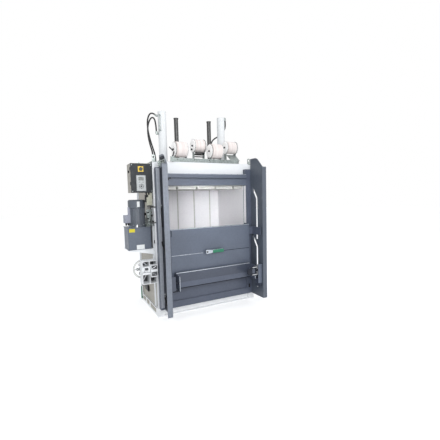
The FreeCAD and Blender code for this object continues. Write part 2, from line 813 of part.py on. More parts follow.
def door_frame():
    """Box stiles, sill and rail with the lower panel, and the keeper for the lock bolt."""
    edge = "door_width / 2"
    opening = "chamber_width / 2"
    thick = ("door_front", "door_back")
    tall = ("door_bottom", "door_top")
    wall = "door_tube_wall"
    pieces = []
    for _, sign in SIDES:
        stile = block("stile_tube", span(sign, opening, edge), thick, tall)
        hollow = block("stile_hollow", span(sign, f"{opening} + {wall}", f"{edge} - {wall}"),
                       (f"door_front + {wall}", f"door_back - {wall}"),
                       (f"door_bottom - {wall}", f"door_top - {wall}"))
        pieces.append(cut("stile", stile, [hollow]))
        pieces.append(block("guide_strip_bar", span(sign, "wing_inner - guide_strip", "wing_inner"),
                            ("door_front - guide_strip_sheet", "door_front"),
                            ("feed_sill", "beam_bottom")))
    across = (f"-{opening}", opening)
    pieces.append(block("sill_bar", across, thick, ("door_bottom", "door_bottom + door_sill")))
    pieces.append(block("rail_bar", across, thick, ("feed_sill - door_rail", "feed_sill")))
    pieces.append(block("lower_panel", across,
                        ("door_front + panel_setback", "door_front + panel_setback + panel_sheet"),
                        ("door_bottom + door_sill", "feed_sill - door_rail")))
    middle, low, high = bolt_range()
    keeper = block("keeper_slot", (f"-{edge} - {wall}", f"-{edge} + keeper_depth"),
                   (f"{middle} - gear_width / 2 - 4 * bolt_play",
                    f"{middle} + gear_width / 2 + 4 * bolt_play"),
                   (f"{low} - 4 * bolt_play", f"{high} + 4 * bolt_play"))
    return node(cut("door_frame", fuse("door_weldment", pieces), [keeper]), "door_frame")


def door_cross_beam():
    high = "head_bottom - beam_bottom"
    corners = [("door_back", "0"), ("door_front", "0"),
               ("door_front", f"{high} - beam_lip_height - beam_gutter"),
               ("door_front + panel_setback", f"{high} - beam_lip_height - beam_gutter"),
               ("door_front + panel_setback", f"{high} - beam_lip_height"),
               ("door_front - beam_lip", f"{high} - beam_lip_height"),
               ("door_front - beam_lip", high), ("door_back", high)]
    return node(profile("door_cross_beam", "YZ_Plane", corners, "chamber_width",
                        "-chamber_width / 2", "0", "beam_bottom"), "door_cross_beam")


def track_cutter(name, drop, left_face):
    """Tool for one cam slot: straight, then bent back towards the door at its top."""
    radius = size("roller_radius") + size("running_gap")
    back = size("roller_back") - size("frame_depth") / 2
    low = size("roller_high") - drop - size("track_drop")
    bend = size("roller_high") - drop + size("track_straight")
    close = size("track_close")
    lift = size("track_lift")
    lean = math.atan2(close, lift)
    setback = size("track_bend") * math.tan(lean / 2)
    start = FreeCAD.Vector(0, back, low)
    corner = FreeCAD.Vector(0, back, bend)
    finish = FreeCAD.Vector(0, back + close, bend + lift)
    enter = corner - FreeCAD.Vector(0, 0, setback)
    leave = corner + FreeCAD.Vector(0, math.sin(lean), math.cos(lean)) * setback
    centre = enter + FreeCAD.Vector(0, size("track_bend"), 0)
    inward = FreeCAD.Vector(0, -math.cos(lean / 2), math.sin(lean / 2))
    path = Part.Wire([Part.LineSegment(start, enter).toShape(),
                      Part.Arc(enter, centre + inward * size("track_bend"), leave).toShape(),
                      Part.LineSegment(leave, finish).toShape()])
    face = Part.Face(path.makeOffset2D(radius, 0, False, False))
    tool = doc.addObject("Part::Feature", name)
    tool.Shape = face.extrude(FreeCAD.Vector(3 * size("wing_sheet"), 0, 0))
    tool.Placement = FreeCAD.Placement(FreeCAD.Vector(left_face, 0, 0), FreeCAD.Rotation())
    return tool


def wings():
    """Guide cheeks of the feed door: a profiled plate with two cam slots and a front flange."""
    corners = [("door_front", "wing_foot"), ("door_front", "wing_peak"),
               ("wing_peak_front", "wing_peak"),
               ("wing_peak_slope", "wing_peak - wing_slope_drop"),
               ("wing_reach", "wing_shoulder"), ("wing_reach", "wing_foot")]
    for side, sign in SIDES:
        face = "wing_inner" if sign > 0 else "-wing_inner - wing_sheet"
        plate = profile(f"wing_plate_{side}", "YZ_Plane", corners, "wing_sheet", face, "0", "0")
        flange = block("wing_flange_bar", span(sign, "wing_inner", "wing_inner + wing_flange"),
                       ("wing_reach", "wing_reach + wing_sheet"), ("wing_foot", "wing_shoulder"))
        start = size("wing_inner") - size("wing_sheet")
        left_face = start if sign > 0 else -start - 3 * size("wing_sheet")
        slots = [track_cutter("cam_slot", drop, left_face) for drop in (0, size("roller_spacing"))]
        node(cut(f"wing_{side}", fuse(f"wing_bent_{side}", [plate, flange]), slots),
             f"wing_{side}")


def hinges():
    """Three lift-off hinges on the right: frame leaf with pin below, door leaf above."""
    frame_leaves = []
    door_leaves = []
    barrel = "hinge_barrel / 2"
    leaf_x = ("frame_width / 2", "frame_width / 2 + hinge_leaf")
    for step in range(3):
        low = f"hinge_low + {step} * hinge_pitch"
        pin_section = [("0", "0"), (barrel, "0"), (barrel, "hinge_height / 2 - running_gap"),
                       ("hinge_pin / 2", "hinge_height / 2 - running_gap"),
                       ("hinge_pin / 2", "hinge_height"), ("0", "hinge_height")]
        pin = turned("hinge_pin_turned", pin_section, "hinge_reach", "hinge_depth", low)
        leaf = block("hinge_leaf_frame", leaf_x, ("hinge_depth", "post_wall + hinge_barrel"),
                     (low, f"{low} + hinge_height / 2 - running_gap"))
        foot = block("hinge_post_plate", leaf_x, ("0", "post_width"),
                     (f"{low} - hinge_barrel", f"{low} + hinge_height / 2 - running_gap"))
        frame_leaves.append(fuse("frame_leaf", [pin, leaf, foot]))
        bore = "hinge_pin / 2 + fit_gap"
        knuckle_section = [(bore, "hinge_height / 2"), (barrel, "hinge_height / 2"),
                           (barrel, "hinge_height + hinge_leaf"),
                           (bore, "hinge_height + hinge_leaf")]
        knuckle = turned("hinge_knuckle", knuckle_section, "hinge_reach", "hinge_depth", low)
        arm = block("hinge_leaf_door", ("door_width / 2", "hinge_reach"),
                    ("hinge_depth - hinge_leaf / 2", "hinge_depth + hinge_leaf / 2"),
                    (f"{low} + hinge_height / 2", f"{low} + hinge_height + hinge_leaf"))
        bore_rod = rod("hinge_bore", bore, "hinge_height", "Z", "hinge_reach", "hinge_depth",
                       f"{low} + hinge_height / 4")
        door_leaves.append(cut("door_leaf", fuse("door_leaf_blank", [knuckle, arm]), [bore_rod]))
    node(group("hinge_frame_leaves", frame_leaves), "hinge_frame_leaves")
    node(group("hinge_door_leaves", door_leaves), "hinge_door_leaves")


# ------------------------------------------------------------------- feed door


def feed_panel():
    """Folded sheet with a top flange and a shallow fold across its middle."""
    corners = [("feed_fold_front", "feed_bottom"), ("feed_fold_front", "feed_fold"),
               ("feed_front", "feed_top"), ("feed_back", "feed_top"),
               ("feed_back", "feed_top - feed_sheet"),
               ("feed_front + feed_sheet", "feed_top - feed_sheet"),
               ("feed_fold_front + feed_sheet", "feed_fold"),
               ("feed_fold_front + feed_sheet", "feed_bottom")]
    return node(profile("feed_panel", "YZ_Plane", corners, "2 * feed_half", "-feed_half", "0", "0"),
                "feed_panel")


def feed_box_beam():
    across = ("-box_half", "box_half")
    outer = block("box_outer", across, ("box_front", "feed_fold_front"), ("box_low", "box_high"))
    inner = block("box_inner", ("-box_half - box_wall", "box_half + box_wall"),
                  ("box_front + box_wall", "feed_fold_front - box_wall"),
                  ("box_low + box_wall", "box_high - box_wall"))
    return node(cut("feed_box_beam", outer, [inner]), "feed_box_beam")


def roller_heights():
    return (("high", "roller_high"), ("low", "roller_high - roller_spacing"))


def roller_stub(side, sign, height):
    """Stub on a bracket's outer face that its roller turns on, with a head on each side."""
    plate = "wing_inner - bracket_gap"
    inner = "wing_inner + wing_sheet / 2 - roller_length / 2 - running_gap"
    outer = "wing_inner + wing_sheet / 2 + roller_length / 2 + running_gap"
    corners = [("0", plate), ("stub_head", plate), ("stub_head", inner), ("roller_stub", inner),
               ("roller_stub", outer), ("stub_head", outer),
               ("stub_head", f"{outer} + bracket_sheet / 2"), ("0", f"{outer} + bracket_sheet / 2")]
    corners = [(radius, f"{sign} * ({along})") for radius, along in corners]
    return turned(f"roller_stub_{side}", corners, "0", "roller_back", height, "X")


def roller_brackets():
    """Feed door's side arms: a returned plate at its upper edge, an arm on spacers below."""
    (_, high), (_, low) = roller_heights()
    face = "wing_inner - bracket_gap"
    near = "bracket_reach"
    pieces = []
    for side, sign in SIDES:
        rise = (f"{high} - bracket_half", f"{high} + bracket_half")
        plate = block("upper_plate", span(sign, f"{face} - bracket_sheet", face),
                      (near, "bracket_back"), rise)
        back = block("upper_return", span(sign, "feed_half", face),
                     ("feed_fold_front", "feed_front + feed_sheet"), rise)
        pieces.append(fuse(f"upper_bracket_{side}", [plate, back, roller_stub(side, sign, high)]))

        step = f"{low} + bracket_half"
        corners = [(near, "arm_low"), (near, "arm_high"), (f"{near} + arm_depth", "arm_high"),
                   (f"{near} + arm_depth", step), ("roller_back + bracket_half / 2", step),
                   ("roller_back + bracket_half / 2", "arm_low")]
        start = f"{face} - bracket_sheet" if sign > 0 else f"-({face})"
        arm = profile(f"arm_plate_{side}", "YZ_Plane", corners, "bracket_sheet", start, "0", "0")
        end = block("beam_end_plate", span(sign, "box_half", "box_half + bracket_sheet"),
                    (near, "feed_fold_front"), ("box_low", "box_high - bracket_sheet"))
        spacers = []
        for height in ("spacer_low", "spacer_high"):
            left = "box_half" if sign > 0 else f"-({face})"
            spacers.append(rod("arm_spacer", "spacer_radius", f"{face} - box_half", "X", left,
                               f"{near} + arm_depth / 2", height))
        pieces.append(fuse(f"lower_bracket_{side}",
                           [arm, end, roller_stub(side, sign, low)] + spacers))
    return node(group("roller_brackets", pieces), "roller_brackets")


def guide_rollers():
    for side, sign in SIDES:
        for level, height in roller_heights():
            middle = f"{sign} * (wing_inner + wing_sheet / 2)"
            bore = "roller_stub + running_gap"
            corners = [(bore, "-roller_length / 2"), ("roller_radius", "-roller_length / 2"),
                       ("roller_radius", "roller_length / 2"), (bore, "roller_length / 2")]
            name = f"roller_{level}_{side}"
            node(turned(name, corners, middle, "roller_back", height, "X"), name)


def feed_handle():
    """Latch lever: a boss on its plate, a bare arm and a thicker grip."""
    face = "feed_fold_front - handle_plate_sheet"
    base = block("handle_plate_block", ("handle_pivot_across - handle_plate / 2",
                                        "handle_pivot_across + handle_plate / 2"),
                 (face, "feed_fold_front"),
                 ("handle_height - handle_plate / 2", "handle_height + handle_plate / 2"))
    node(base, "handle_base")
    stand = f"{face} - handle_stand"
    corners = [("0", "0"), ("handle_arm", "0"), ("handle_arm", "handle_grip_start"),
               ("handle_grip", "handle_grip_start"), ("handle_grip", "handle_reach"),
               ("0", "handle_reach")]
    arm = turned("handle_arm_turned", corners, "handle_pivot_across", stand, "handle_height", "X")
    boss = rod("handle_boss_rod", "handle_boss", "handle_stand + handle_boss - running_gap", "Y",
               "handle_pivot_across", f"{stand} - handle_boss", "handle_height")
    node(fuse("feed_handle", [arm, boss]), "feed_handle")


# ------------------------------------------------------------------- door lock


def bolt_range():
    """Middle plane of the lock bolt, and its lower and upper face."""
    pitch_line = "lock_height - gear_module * gear_teeth / 2"
    high = f"{pitch_line} - 1.25 * gear_module"
    return "bolt_depth", f"{high} - bolt_height", high


def lock_housing():
    """Welded shelf of crossed plates with two bearing plates and the bolt's guide block."""
    left = "lock_left"
    right = "-frame_width / 2"
    deep = ("lock_front", "lock_back")
    tall = ("lock_low", "lock_high")
    wall = "lock_sheet"
    pieces = [block("lock_upright", (low, f"{low} + {wall}"), deep, tall)
              for low in (left, "lock_divider", f"{right} - {wall}")]
    pieces += [block("lock_shelf_plate", (left, right), deep, (low, f"{low} + {wall}"))
               for low in ("lock_low", "lock_shelf", f"lock_high - {wall}")]
    for low in ("lock_front", f"lock_back - {wall}"):
        pieces.append(block("bearing_plate", (left, "lock_divider"), (low, f"{low} + {wall}"),
                            ("lock_height - wheel_hub", "lock_shelf")))
    pieces.append(block("bolt_guide_block", ("guide_block_left", "guide_block_right"),
                        ("guide_block_front", "lock_front"),
                        ("guide_block_low", "guide_block_high")))
    middle, low, high = bolt_range()
    play = "bolt_play"
    way = block("bolt_way", ("guide_block_left - lock_sheet", "guide_block_right + lock_sheet"),
                (f"{middle} - gear_width / 2 - {play}", f"{middle} + gear_width / 2 + {play}"),
                (f"{low} - {play}", "lock_height - gear_module * gear_teeth / 2 + 2 * gear_module"))
    bearing = rod("shaft_bore", "shaft_radius + running_gap", "2 * (lock_back - lock_front)", "Y",
                  "lock_across", "lock_front - lock_back", "lock_height")
    return node(cut("lock_housing", fuse("lock_weldment", pieces), [way, bearing]),
                "lock_housing")


def lock_bolt():
    """Sliding bolt with a rack of straight-sided teeth on its upper face."""
    middle, low, high = bolt_range()
    module = "gear_module"
    tooth = "3.14159265 * gear_module"
    bar = block("bolt_bar", ("bolt_tail", "bolt_nose"),
                (f"{middle} - gear_width / 2", f"{middle} + gear_width / 2"), (low, high))
    teeth = []
    for step in range(-1, 5):
        corners = [(f"-{tooth} * 0.36", "0"), (f"{tooth} * 0.36", "0"),
                   (f"{tooth} * 0.12", f"2.05 * {module}"), (f"-{tooth} * 0.12", f"2.05 * {module}")]
        teeth.append(profile("rack_tooth", "XZ_Plane", corners, "gear_width",
                             f"lock_across - {tooth} * {step}",
                             f"{middle} + gear_width / 2", high))
    return node(fuse("lock_bolt", [bar] + teeth), "lock_bolt")


def lock_shaft():
    """Shaft of the handwheel with the pinion that drives the bolt."""
    tooth = "3.14159265 * gear_module"
    pitch = "gear_module * gear_teeth / 2"
    front = "bolt_depth - gear_width / 2"
    shaft = rod("shaft_rod", "shaft_radius", f"wheel_plane - ({front})", "Y", "lock_across",
                front, "lock_height")
    root = rod("pinion_root", f"{pitch} - 1.25 * gear_module", "gear_width", "Y", "lock_across",
               front, "lock_height")
    teeth = []
    count = int(size("gear_teeth"))
    for step in range(count):
        corners = [(f"-{tooth} * 0.25", f"{pitch} - 1.6 * gear_module"),
                   (f"{tooth} * 0.25", f"{pitch} - 1.6 * gear_module"),
                   (f"{tooth} * 0.19", pitch), (f"{tooth} * 0.09", f"{pitch} + 0.9 * gear_module"),
                   (f"-{tooth} * 0.09", f"{pitch} + 0.9 * gear_module"),
                   (f"-{tooth} * 0.19", pitch)]
        tooth_body = profile("pinion_tooth", "XZ_Plane", corners, "gear_width", "lock_across",
                             "bolt_depth + gear_width / 2", "lock_height")
        turn = FreeCAD.Rotation(FreeCAD.Vector(0, 1, 0), 360 * (step + 0.5) / count)
        tooth_body.Placement = FreeCAD.Placement(tooth_body.Placement.Base, turn)
        teeth.append(tooth_body)
    return node(fuse("lock_shaft", [shaft, root] + teeth), "lock_shaft")


def handwheel():
    """Chamfered rim on three spokes and a hub, behind the lock housing."""
    chamfer = [(1, -0.45), (0.45, -1), (-0.45, -1), (-1, -0.45),
               (-1, 0.45), (-0.45, 1), (0.45, 1), (1, 0.45)]
    corners = [(f"wheel_radius + {out} * rim_radius", f"{up} * rim_radius") for out, up in chamfer]
    rim = turned("wheel_rim", corners, "lock_across", "wheel_plane", "lock_height", "Y")
    hub = rod("wheel_hub_rod", "wheel_hub", "wheel_hub_length", "Y", "lock_across",
              "wheel_plane - wheel_hub_length / 2", "lock_height")
    spokes = []
    for step in range(3):
        spoke = rod("wheel_spoke", "spoke_radius", "wheel_radius", "Z", "lock_across",
                    "wheel_plane", "lock_height")
        turn = FreeCAD.Rotation(FreeCAD.Vector(0, 1, 0), 120 * step + 30)
        spoke.Placement = FreeCAD.Placement(spoke.Placement.Base, turn)
        spokes.append(spoke)
    bore = rod("wheel_bore", "shaft_radius + fit_gap", "wheel_hub_length", "Y", "lock_across",
               "wheel_plane - wheel_hub_length", "lock_height")
    return node(cut("handwheel", fuse("wheel_weldment", [rim, hub] + spokes), [bore]), "handwheel")


# ---------------------------------------------------------- electrical cabinet


def cabinet_left():
    return "-frame_width / 2 - cabinet_width"


def cabinet():
    """Sheet box on the left side of the frame with a hinged pan lid and its switchgear."""
    left = cabinet_left()
    right = "-frame_width / 2"
    wall = "cabinet_sheet"
    face = "cabinet_front + lid_depth + running_gap"
    back = "cabinet_front + cabinet_depth"
    tall = ("cabinet_low", "cabinet_high")
    outer = block("cabinet_outer", (left, right), (face, back), tall)
    inner = block("cabinet_inner", (f"{left} + {wall}", f"{right} - {wall}"),
                  ("cabinet_front", f"{back} - {wall}"),
                  (f"cabinet_low + {wall}", f"cabinet_high - {wall}"))
    shell = cut("cabinet_shell", outer, [inner])
    hinge_x = f"{left} - lid_hinge"
    hinge_y = "cabinet_front + lid_depth - lid_hinge"
    pieces = [shell]
    knuckles = []
    for low in ("cabinet_low + lid_hinge_height", "cabinet_high - 3 * lid_hinge_height"):
        corners = [("0", "0"), ("lid_hinge", "0"), ("lid_hinge", "lid_hinge_height - running_gap"),
                   ("lid_hinge / 2", "lid_hinge_height - running_gap"),
                   ("lid_hinge / 2", "2 * lid_hinge_height"), ("0", "2 * lid_hinge_height")]
        pieces.append(turned("lid_pin", corners, hinge_x, hinge_y, low))
        pieces.append(block("lid_pin_ear", (f"{left} - 2 * lid_hinge", left),
                            (hinge_y, f"{face} + 4 * lid_hinge"),
                            (low, f"{low} + lid_hinge_height - running_gap")))
        ring = [("lid_hinge / 2 + fit_gap", "0"), ("lid_hinge", "0"),
                ("lid_hinge", "lid_hinge_height"), ("lid_hinge / 2 + fit_gap", "lid_hinge_height")]
        knuckles.append(turned("lid_knuckle", ring, hinge_x, hinge_y, f"{low} + lid_hinge_height"))
        ear = block("lid_knuckle_ear", (hinge_x, left), ("cabinet_front", hinge_y),
                    (f"{low} + lid_hinge_height", f"{low} + 2 * lid_hinge_height"))
        hole = rod("lid_knuckle_bore", "lid_hinge / 2 + fit_gap", "3 * lid_hinge_height", "Z",
                   hinge_x, hinge_y, low)
        knuckles.append(cut("lid_knuckle_arm", ear, [hole]))
    node(fuse("cabinet_body", pieces), "cabinet_body")

    pan = block("lid_outer", (left, right), ("cabinet_front", "cabinet_front + lid_depth"), tall)
    hollow = block("lid_hollow", (f"{left} + {wall}", f"{right} - {wall}"),
                   (f"cabinet_front + {wall}", "cabinet_front + 2 * lid_depth"),
                   (f"cabinet_low + {wall}", f"cabinet_high - {wall}"))
    spindle = rod("switch_hole", "switch_radius / 2", "lid_depth", "Y", f"{left} + switch_across",
                  "cabinet_front - lid_depth / 2", "cabinet_high - switch_drop")
    lid = cut("lid_pan", pan, [hollow, spindle])
    node(fuse("cabinet_door", [lid] + knuckles), "cabinet_door")

    plate_back = f"{back} - 4 * {wall}"
    gear = [block("gear_plate", (f"{left} + 6 * {wall}", f"{right} - 6 * {wall}"),
                  (plate_back, f"{back} - {wall}"),
                  (f"cabinet_low + 6 * {wall}", f"cabinet_high - 6 * {wall}"))]
    for place in range(4):
        low = f"{left} + 9 * {wall} + {place} * 16 * {wall}"
        gear.append(block("contactor", (low, f"{low} + 14 * {wall}"),
                          (f"{plate_back} - 24 * {wall}", plate_back),
                          ("cabinet_low + cabinet_width / 2", "cabinet_low + cabinet_width * 0.8")))
    node(fuse("switchgear", gear), "switchgear")


def control_panel():
    """Plate with a framed display and a ring of keys, and the square under the main switch."""
    left = f"{cabinet_left()} + panel_left"
    face = "cabinet_front - panel_plate"
    low = "cabinet_low + panel_low"
    plate = block("key_plate", (left, f"{left} + panel_width"), (face, "cabinet_front"),
                  (low, f"{low} + panel_height"))
    display = block("display_recess", (f"{left} + key_ring", f"{left} + panel_width - key_ring"),
                    (f"{face} - panel_plate", f"{face} + panel_plate / 2"),
                    (f"{low} + panel_height * 0.66", f"{low} + panel_height * 0.88"))
    keys = []
    for step in range(8):
        angle = math.radians(45 * step)
        keys.append(rod("round_key", "key_radius", "panel_plate", "Y",
                        f"{left} + panel_width / 2 + key_ring * {math.cos(angle):.6f}",
                        f"{face} - panel_plate / 2",
                        f"{low} + panel_height * 0.3 + key_ring * {math.sin(angle):.6f}"))
    node(fuse("control_panel", [cut("key_plate_cut", plate, [display])] + keys), "control_panel")

    across = f"{cabinet_left()} + switch_across"
    height = "cabinet_high - switch_drop"
    square = block("switch_square", (f"{across} - switch_plate / 2", f"{across} + switch_plate / 2"),
                   (face, "cabinet_front"),
                   (f"{height} - switch_plate / 2", f"{height} + switch_plate / 2"))
    hole = rod("switch_square_hole", "switch_radius / 2", "4 * panel_plate", "Y", across,
               f"{face} - panel_plate", height)
    node(cut("switch_plate", square, [hole]), "switch_plate")
    front = f"{face} - switch_depth - running_gap"
    disc = rod("switch_disc", "switch_radius", "switch_depth", "Y", across, front, height)
    grip = block("switch_grip", (f"{across} - switch_radius / 3", f"{across} + switch_radius / 3"),
                 (f"{front} - switch_radius / 3", front),
                 (f"{height} - switch_radius * 0.9", f"{height} + switch_radius * 0.9"))
    stem = rod("switch_stem", "switch_radius / 2 - running_gap", "switch_depth + lid_depth", "Y",
               across, front, height)
    node(fuse("switch_knob", [disc, grip, stem]), "switch_knob")


# -------------------------------------------------------- hydraulic power pack


def power_pack():
    """Oil tank with its lid on a gusseted shelf."""
    right = "tank_left + tank_width"
    back = "tank_front + tank_depth"
    high = "tank_low + tank_height"
    tank = block("tank_block", ("tank_left", right), ("tank_front", back), ("tank_low", high))
    rounded = doc.addObject("Part::Fillet", "tank_rounded")
    rounded.Base = tank
    doc.recompute()
    uprights = [index for index, edge in enumerate(tank.Shape.Edges, start=1)
                if abs(edge.tangentAt(edge.FirstParameter).z) > 0.9]
    rounded.Edges = [(index, size("tank_round"), size("tank_round")) for index in uprights]
    lip = "tank_lip"
    lid = block("tank_lid_block", (f"tank_left - {lip}", f"{right} + {lip}"),
                (f"tank_front - {lip}", f"{back} + {lip}"), (high, f"{high} + tank_lid"))
    cap = rod("filler_cap", "coil_radius", "coil_radius", "Z", "tank_left + 2 * coil_radius",
              "tank_front + 2 * coil_radius", f"{high} + tank_lid")
    node(rounded, "oil_tank")
    node(fuse("tank_lid", [lid, cap]), "tank_lid")

    sheet_low = "tank_low - shelf_sheet"
    deck = block("shelf_deck", (f"tank_left - {lip}", "-frame_width / 2"),
                 (f"tank_front - {lip}", f"{back} + {lip}"), (sheet_low, "tank_low"))
    reach = f"-frame_width / 2 - tank_left"
    gusset = [("0", "0"), (f"-({reach})", "0"), ("0", "-gusset_drop")]
    sides = [profile("shelf_gusset", "XZ_Plane", gusset, "shelf_sheet", "-frame_width / 2", place,
                     sheet_low) for place in ("tank_front + shelf_sheet", back)]
    node(fuse("tank_shelf", [deck] + sides), "tank_shelf")


def motor():
    foot = "tank_low + tank_height + tank_lid"
    high = f"{foot} + motor_foot + motor_length"
    core = rod("motor_core", "motor_radius", "motor_length", "Z", "motor_across", "motor_back",
               f"{foot} + motor_foot")
    flange = rod("motor_flange", "fin_radius", "motor_foot", "Z", "motor_across", "motor_back", foot)
    fins = []
    count = int(size("fin_count"))
    for step in range(count):
        fin = profile("motor_fin", "XY_Plane",
                      [("0", "-fin_sheet / 2"), ("fin_radius", "-fin_sheet / 2"),
                       ("fin_radius", "fin_sheet / 2"), ("0", "fin_sheet / 2")],
                      "motor_length - motor_foot", "motor_across", "motor_back",
                      f"{foot} + motor_foot")
        turn = FreeCAD.Rotation(FreeCAD.Vector(0, 0, 1), 360 * (step + 0.5) / count)
        fin.Placement = FreeCAD.Placement(fin.Placement.Base, turn)
        fins.append(fin)
    node(fuse("motor_body", [core, flange] + fins), "motor_body")

    wall = "cowl_sheet"
    corners = [("motor_radius + running_gap", "-motor_foot"), ("cowl_radius", "-motor_foot"),
               ("cowl_radius", "cowl_height - cowl_round"),
               ("cowl_radius - cowl_round * 0.3", "cowl_height - cowl_round * 0.3"),
               ("cowl_radius - cowl_round", "cowl_height"), ("0", "cowl_height"),
               ("0", f"cowl_height - {wall}"),
               (f"cowl_radius - cowl_round", f"cowl_height - {wall}"),
               (f"cowl_radius - {wall}", f"cowl_height - cowl_round"),
               (f"cowl_radius - {wall}", f"{wall} - motor_foot"),
               ("motor_radius + running_gap", f"{wall} - motor_foot")]
    shell = turned("cowl_shell", corners, "motor_across", "motor_back", high)
    slots = []
    for step in range(int(size("cowl_slots"))):
        slot = profile("cowl_slot", "XY_Plane",
                       [("fan_radius * 0.25", "-cowl_round / 4"), ("fan_radius * 0.95", "-cowl_round / 2"),
                        ("fan_radius * 0.95", "cowl_round / 2"), ("fan_radius * 0.25", "cowl_round / 4")],
                       "cowl_round", "motor_across", "motor_back",
                       f"{high} + cowl_height - cowl_round / 2")
        turn = FreeCAD.Rotation(FreeCAD.Vector(0, 0, 1), 360 * step / size("cowl_slots"))
        slot.Placement = FreeCAD.Placement(slot.Placement.Base, turn)
        slots.append(slot)
    node(cut("fan_cowl", shell, slots), "fan_cowl")

    hub_low = f"{high} + running_gap"
    hub = rod("fan_hub", "coil_radius", "cowl_height / 2", "Z", "motor_across", "motor_back", hub_low)
    blades = []
    for step in range(int(size("fan_blades"))):
        blade = profile("fan_blade", "XY_Plane",
                        [("0", "-fin_sheet / 2"), ("fan_radius", "-fin_sheet / 2"),
                         ("fan_radius", "fin_sheet / 2"), ("0", "fin_sheet / 2")],
                        "cowl_height / 2", "motor_across", "motor_back", hub_low)
        turn = FreeCAD.Rotation(FreeCAD.Vector(0, 0, 1), 360 * step / size("fan_blades"))
        blade.Placement = FreeCAD.Placement(blade.Placement.Base, turn)
        blades.append(blade)
    node(fuse("motor_fan", [hub] + blades), "motor_fan")

    box_low = f"{foot} + terminal_rise"
    edge = "motor_across - motor_radius"
    box = block("terminal_block", (f"{edge} - terminal_width", edge),
                ("motor_back - terminal_depth / 2", "motor_back + terminal_depth / 2"),
                (box_low, f"{box_low} + terminal_height"))
    clear = rod("terminal_seat", "fin_radius + running_gap", "motor_length", "Z", "motor_across",
                "motor_back", f"{foot} + motor_foot")
    gland = rod("terminal_gland", "coil_radius / 2", "coil_radius", "Z",
                f"{edge} - terminal_width / 2", "motor_back - terminal_depth / 4",
                f"{box_low} - coil_radius")
    node(fuse("terminal_box", [cut("terminal_cut", box, [clear]), gland]), "terminal_box")


def valve_block():
    """Manifold on the tank lid with two upright solenoid coils."""
    foot = "tank_low + tank_height + tank_lid"
    right = "valve_left + valve_width"
    back = "valve_front + valve_depth"
    pieces = [block("manifold", ("valve_left", right), ("valve_front", back),
                    (foot, f"{foot} + valve_height"))]
    for place in ("valve_front + valve_depth * 0.25", "valve_front + valve_depth * 0.75"):
        pieces.append(rod("valve_coil", "valve_depth * 0.22", "coil_length", "Z",
                          "valve_left + valve_width / 2", place, f"{foot} + valve_height"))
    return node(fuse("valve_block", pieces), "valve_block")


def pipework():
    """Conduits along the frame's side and down its front post, and the duct under the cabinet."""
    side = "-frame_width / 2"
    clamp = "3 * pipe_radius"
    left = f"pipe_across - {clamp} / 2"
    pieces = []
    for height in ("pipe_high", "pipe_low"):
        rise = (f"{height} - {clamp} / 2", f"{height} + {clamp} / 2")
        pipe = rod("side_pipe", "pipe_radius", "pipe_back - header_return / 2", "Y", "pipe_across",
                   "header_return / 2", height)
        front = block("pipe_end_block", (left, side), ("0", clamp), rise)
        middle = block("pipe_clamp", (left, side),
                       ("post_width - post_box", f"post_width - post_box + {clamp}"), rise)
        back = block("pipe_back_clamp", (left, f"{side} + skin_setback"),
                     (f"pipe_back - {clamp}", "pipe_back"), rise)
        pieces.append(fuse("side_pipe_run", [pipe, front, middle, back]))
    across = f"{side} + {clamp}"
    upright = rod("post_pipe", "pipe_radius", "pipe_low - conduit_low", "Z", across, "conduit_back",
                  "conduit_low")
    seats = [block("post_pipe_clamp", (f"{across} - {clamp} / 2", f"{across} + {clamp} / 2"),
                   ("conduit_back - pipe_radius", "post_width - post_box"),
                   (low, f"{low} + 2 * {clamp}"))
             for low in ("conduit_low", f"pipe_low - 3 * {clamp}")]
    pieces.append(fuse("post_pipe_run", [upright] + seats))
    pieces.append(cable_duct())
    return node(group("pipework", pieces), "pipework")


def cable_duct():
    """Sheet channel from the cabinet's floor, open below, on a pad against the post."""
    right = "-frame_width / 2 - duct_offset"
    left = f"{right} - duct_width"
    back = "duct_front + duct_depth"
    low = "cabinet_low - duct_length"
    wall = "duct_sheet"
    outer = block("duct_outer", (left, right), ("duct_front", back), (low, "cabinet_low"))
    inner = block("duct_inner", (f"{left} + {wall}", f"{right} - {wall}"),
                  (f"duct_front + {wall}", f"{back} - {wall}"), (f"{low} - {wall}", f"cabinet_low - {wall}"))
    pad = block("duct_pad", (right, "-frame_width / 2"), ("duct_front", "post_depth - duct_offset"),
                ("cabinet_low - duct_length / 2", "cabinet_low - duct_length / 4"))
    return fuse("duct_run", [cut("duct_channel", outer, [inner]), pad])


def ejector_lever():
    """Pedal bar that hangs from the ear at the back corner of the base."""
    half = "ejector_width / 2"
    face = "-frame_width / 2 - ear_sheet - running_gap"
    corners = [(f"-{half}", "-ejector_length"), (half, "-ejector_length"),
               (half, "0"), (f"{half} / 2", half), (f"-{half} / 2", half), (f"-{half}", "0")]
    bar = profile("ejector_bar", "YZ_Plane", corners, "ejector_sheet",
                  f"{face} - ejector_sheet", "ejector_back", "ejector_pivot")
    pin = rod("ejector_pin_rod", "ejector_pin", "ear_sheet", "X", face, "ejector_back",
              "ejector_pivot")
    return node(fuse("ejector_lever", [bar, pin]), "ejector_lever")


# ----------------------------------------------------------------------- hoses

# Each route runs from its port on a cylinder to a bulkhead on the head: y from the frame's front
# and z from the head's top.
HOSES = (
    ("hose_left_outer", -1, [
        (-550, 484, 711), (-577, 610, 788), (-602, 738, 712), (-600, 742, 561),
        (-578, 722, 414), (-545, 700, 281), (-514, 678, 151), (-514, 678, 30)]),
    ("hose_left_inner", -1, [
        (-566, 412, 466), (-570, 414, 626), (-588, 548, 702), (-612, 676, 626),
        (-618, 684, 476), (-598, 664, 326), (-562, 634, 176), (-562, 634, 30)]),
    ("hose_right", 1, [
        (556, 424, 718), (563, 430, 671), (570, 452, 601), (540, 530, 506),
        (455, 590, 471), (370, 560, 396), (345, 495, 301), (350, 458, 191),
        (358, 444, 86), (358, 444, 30)]),
)


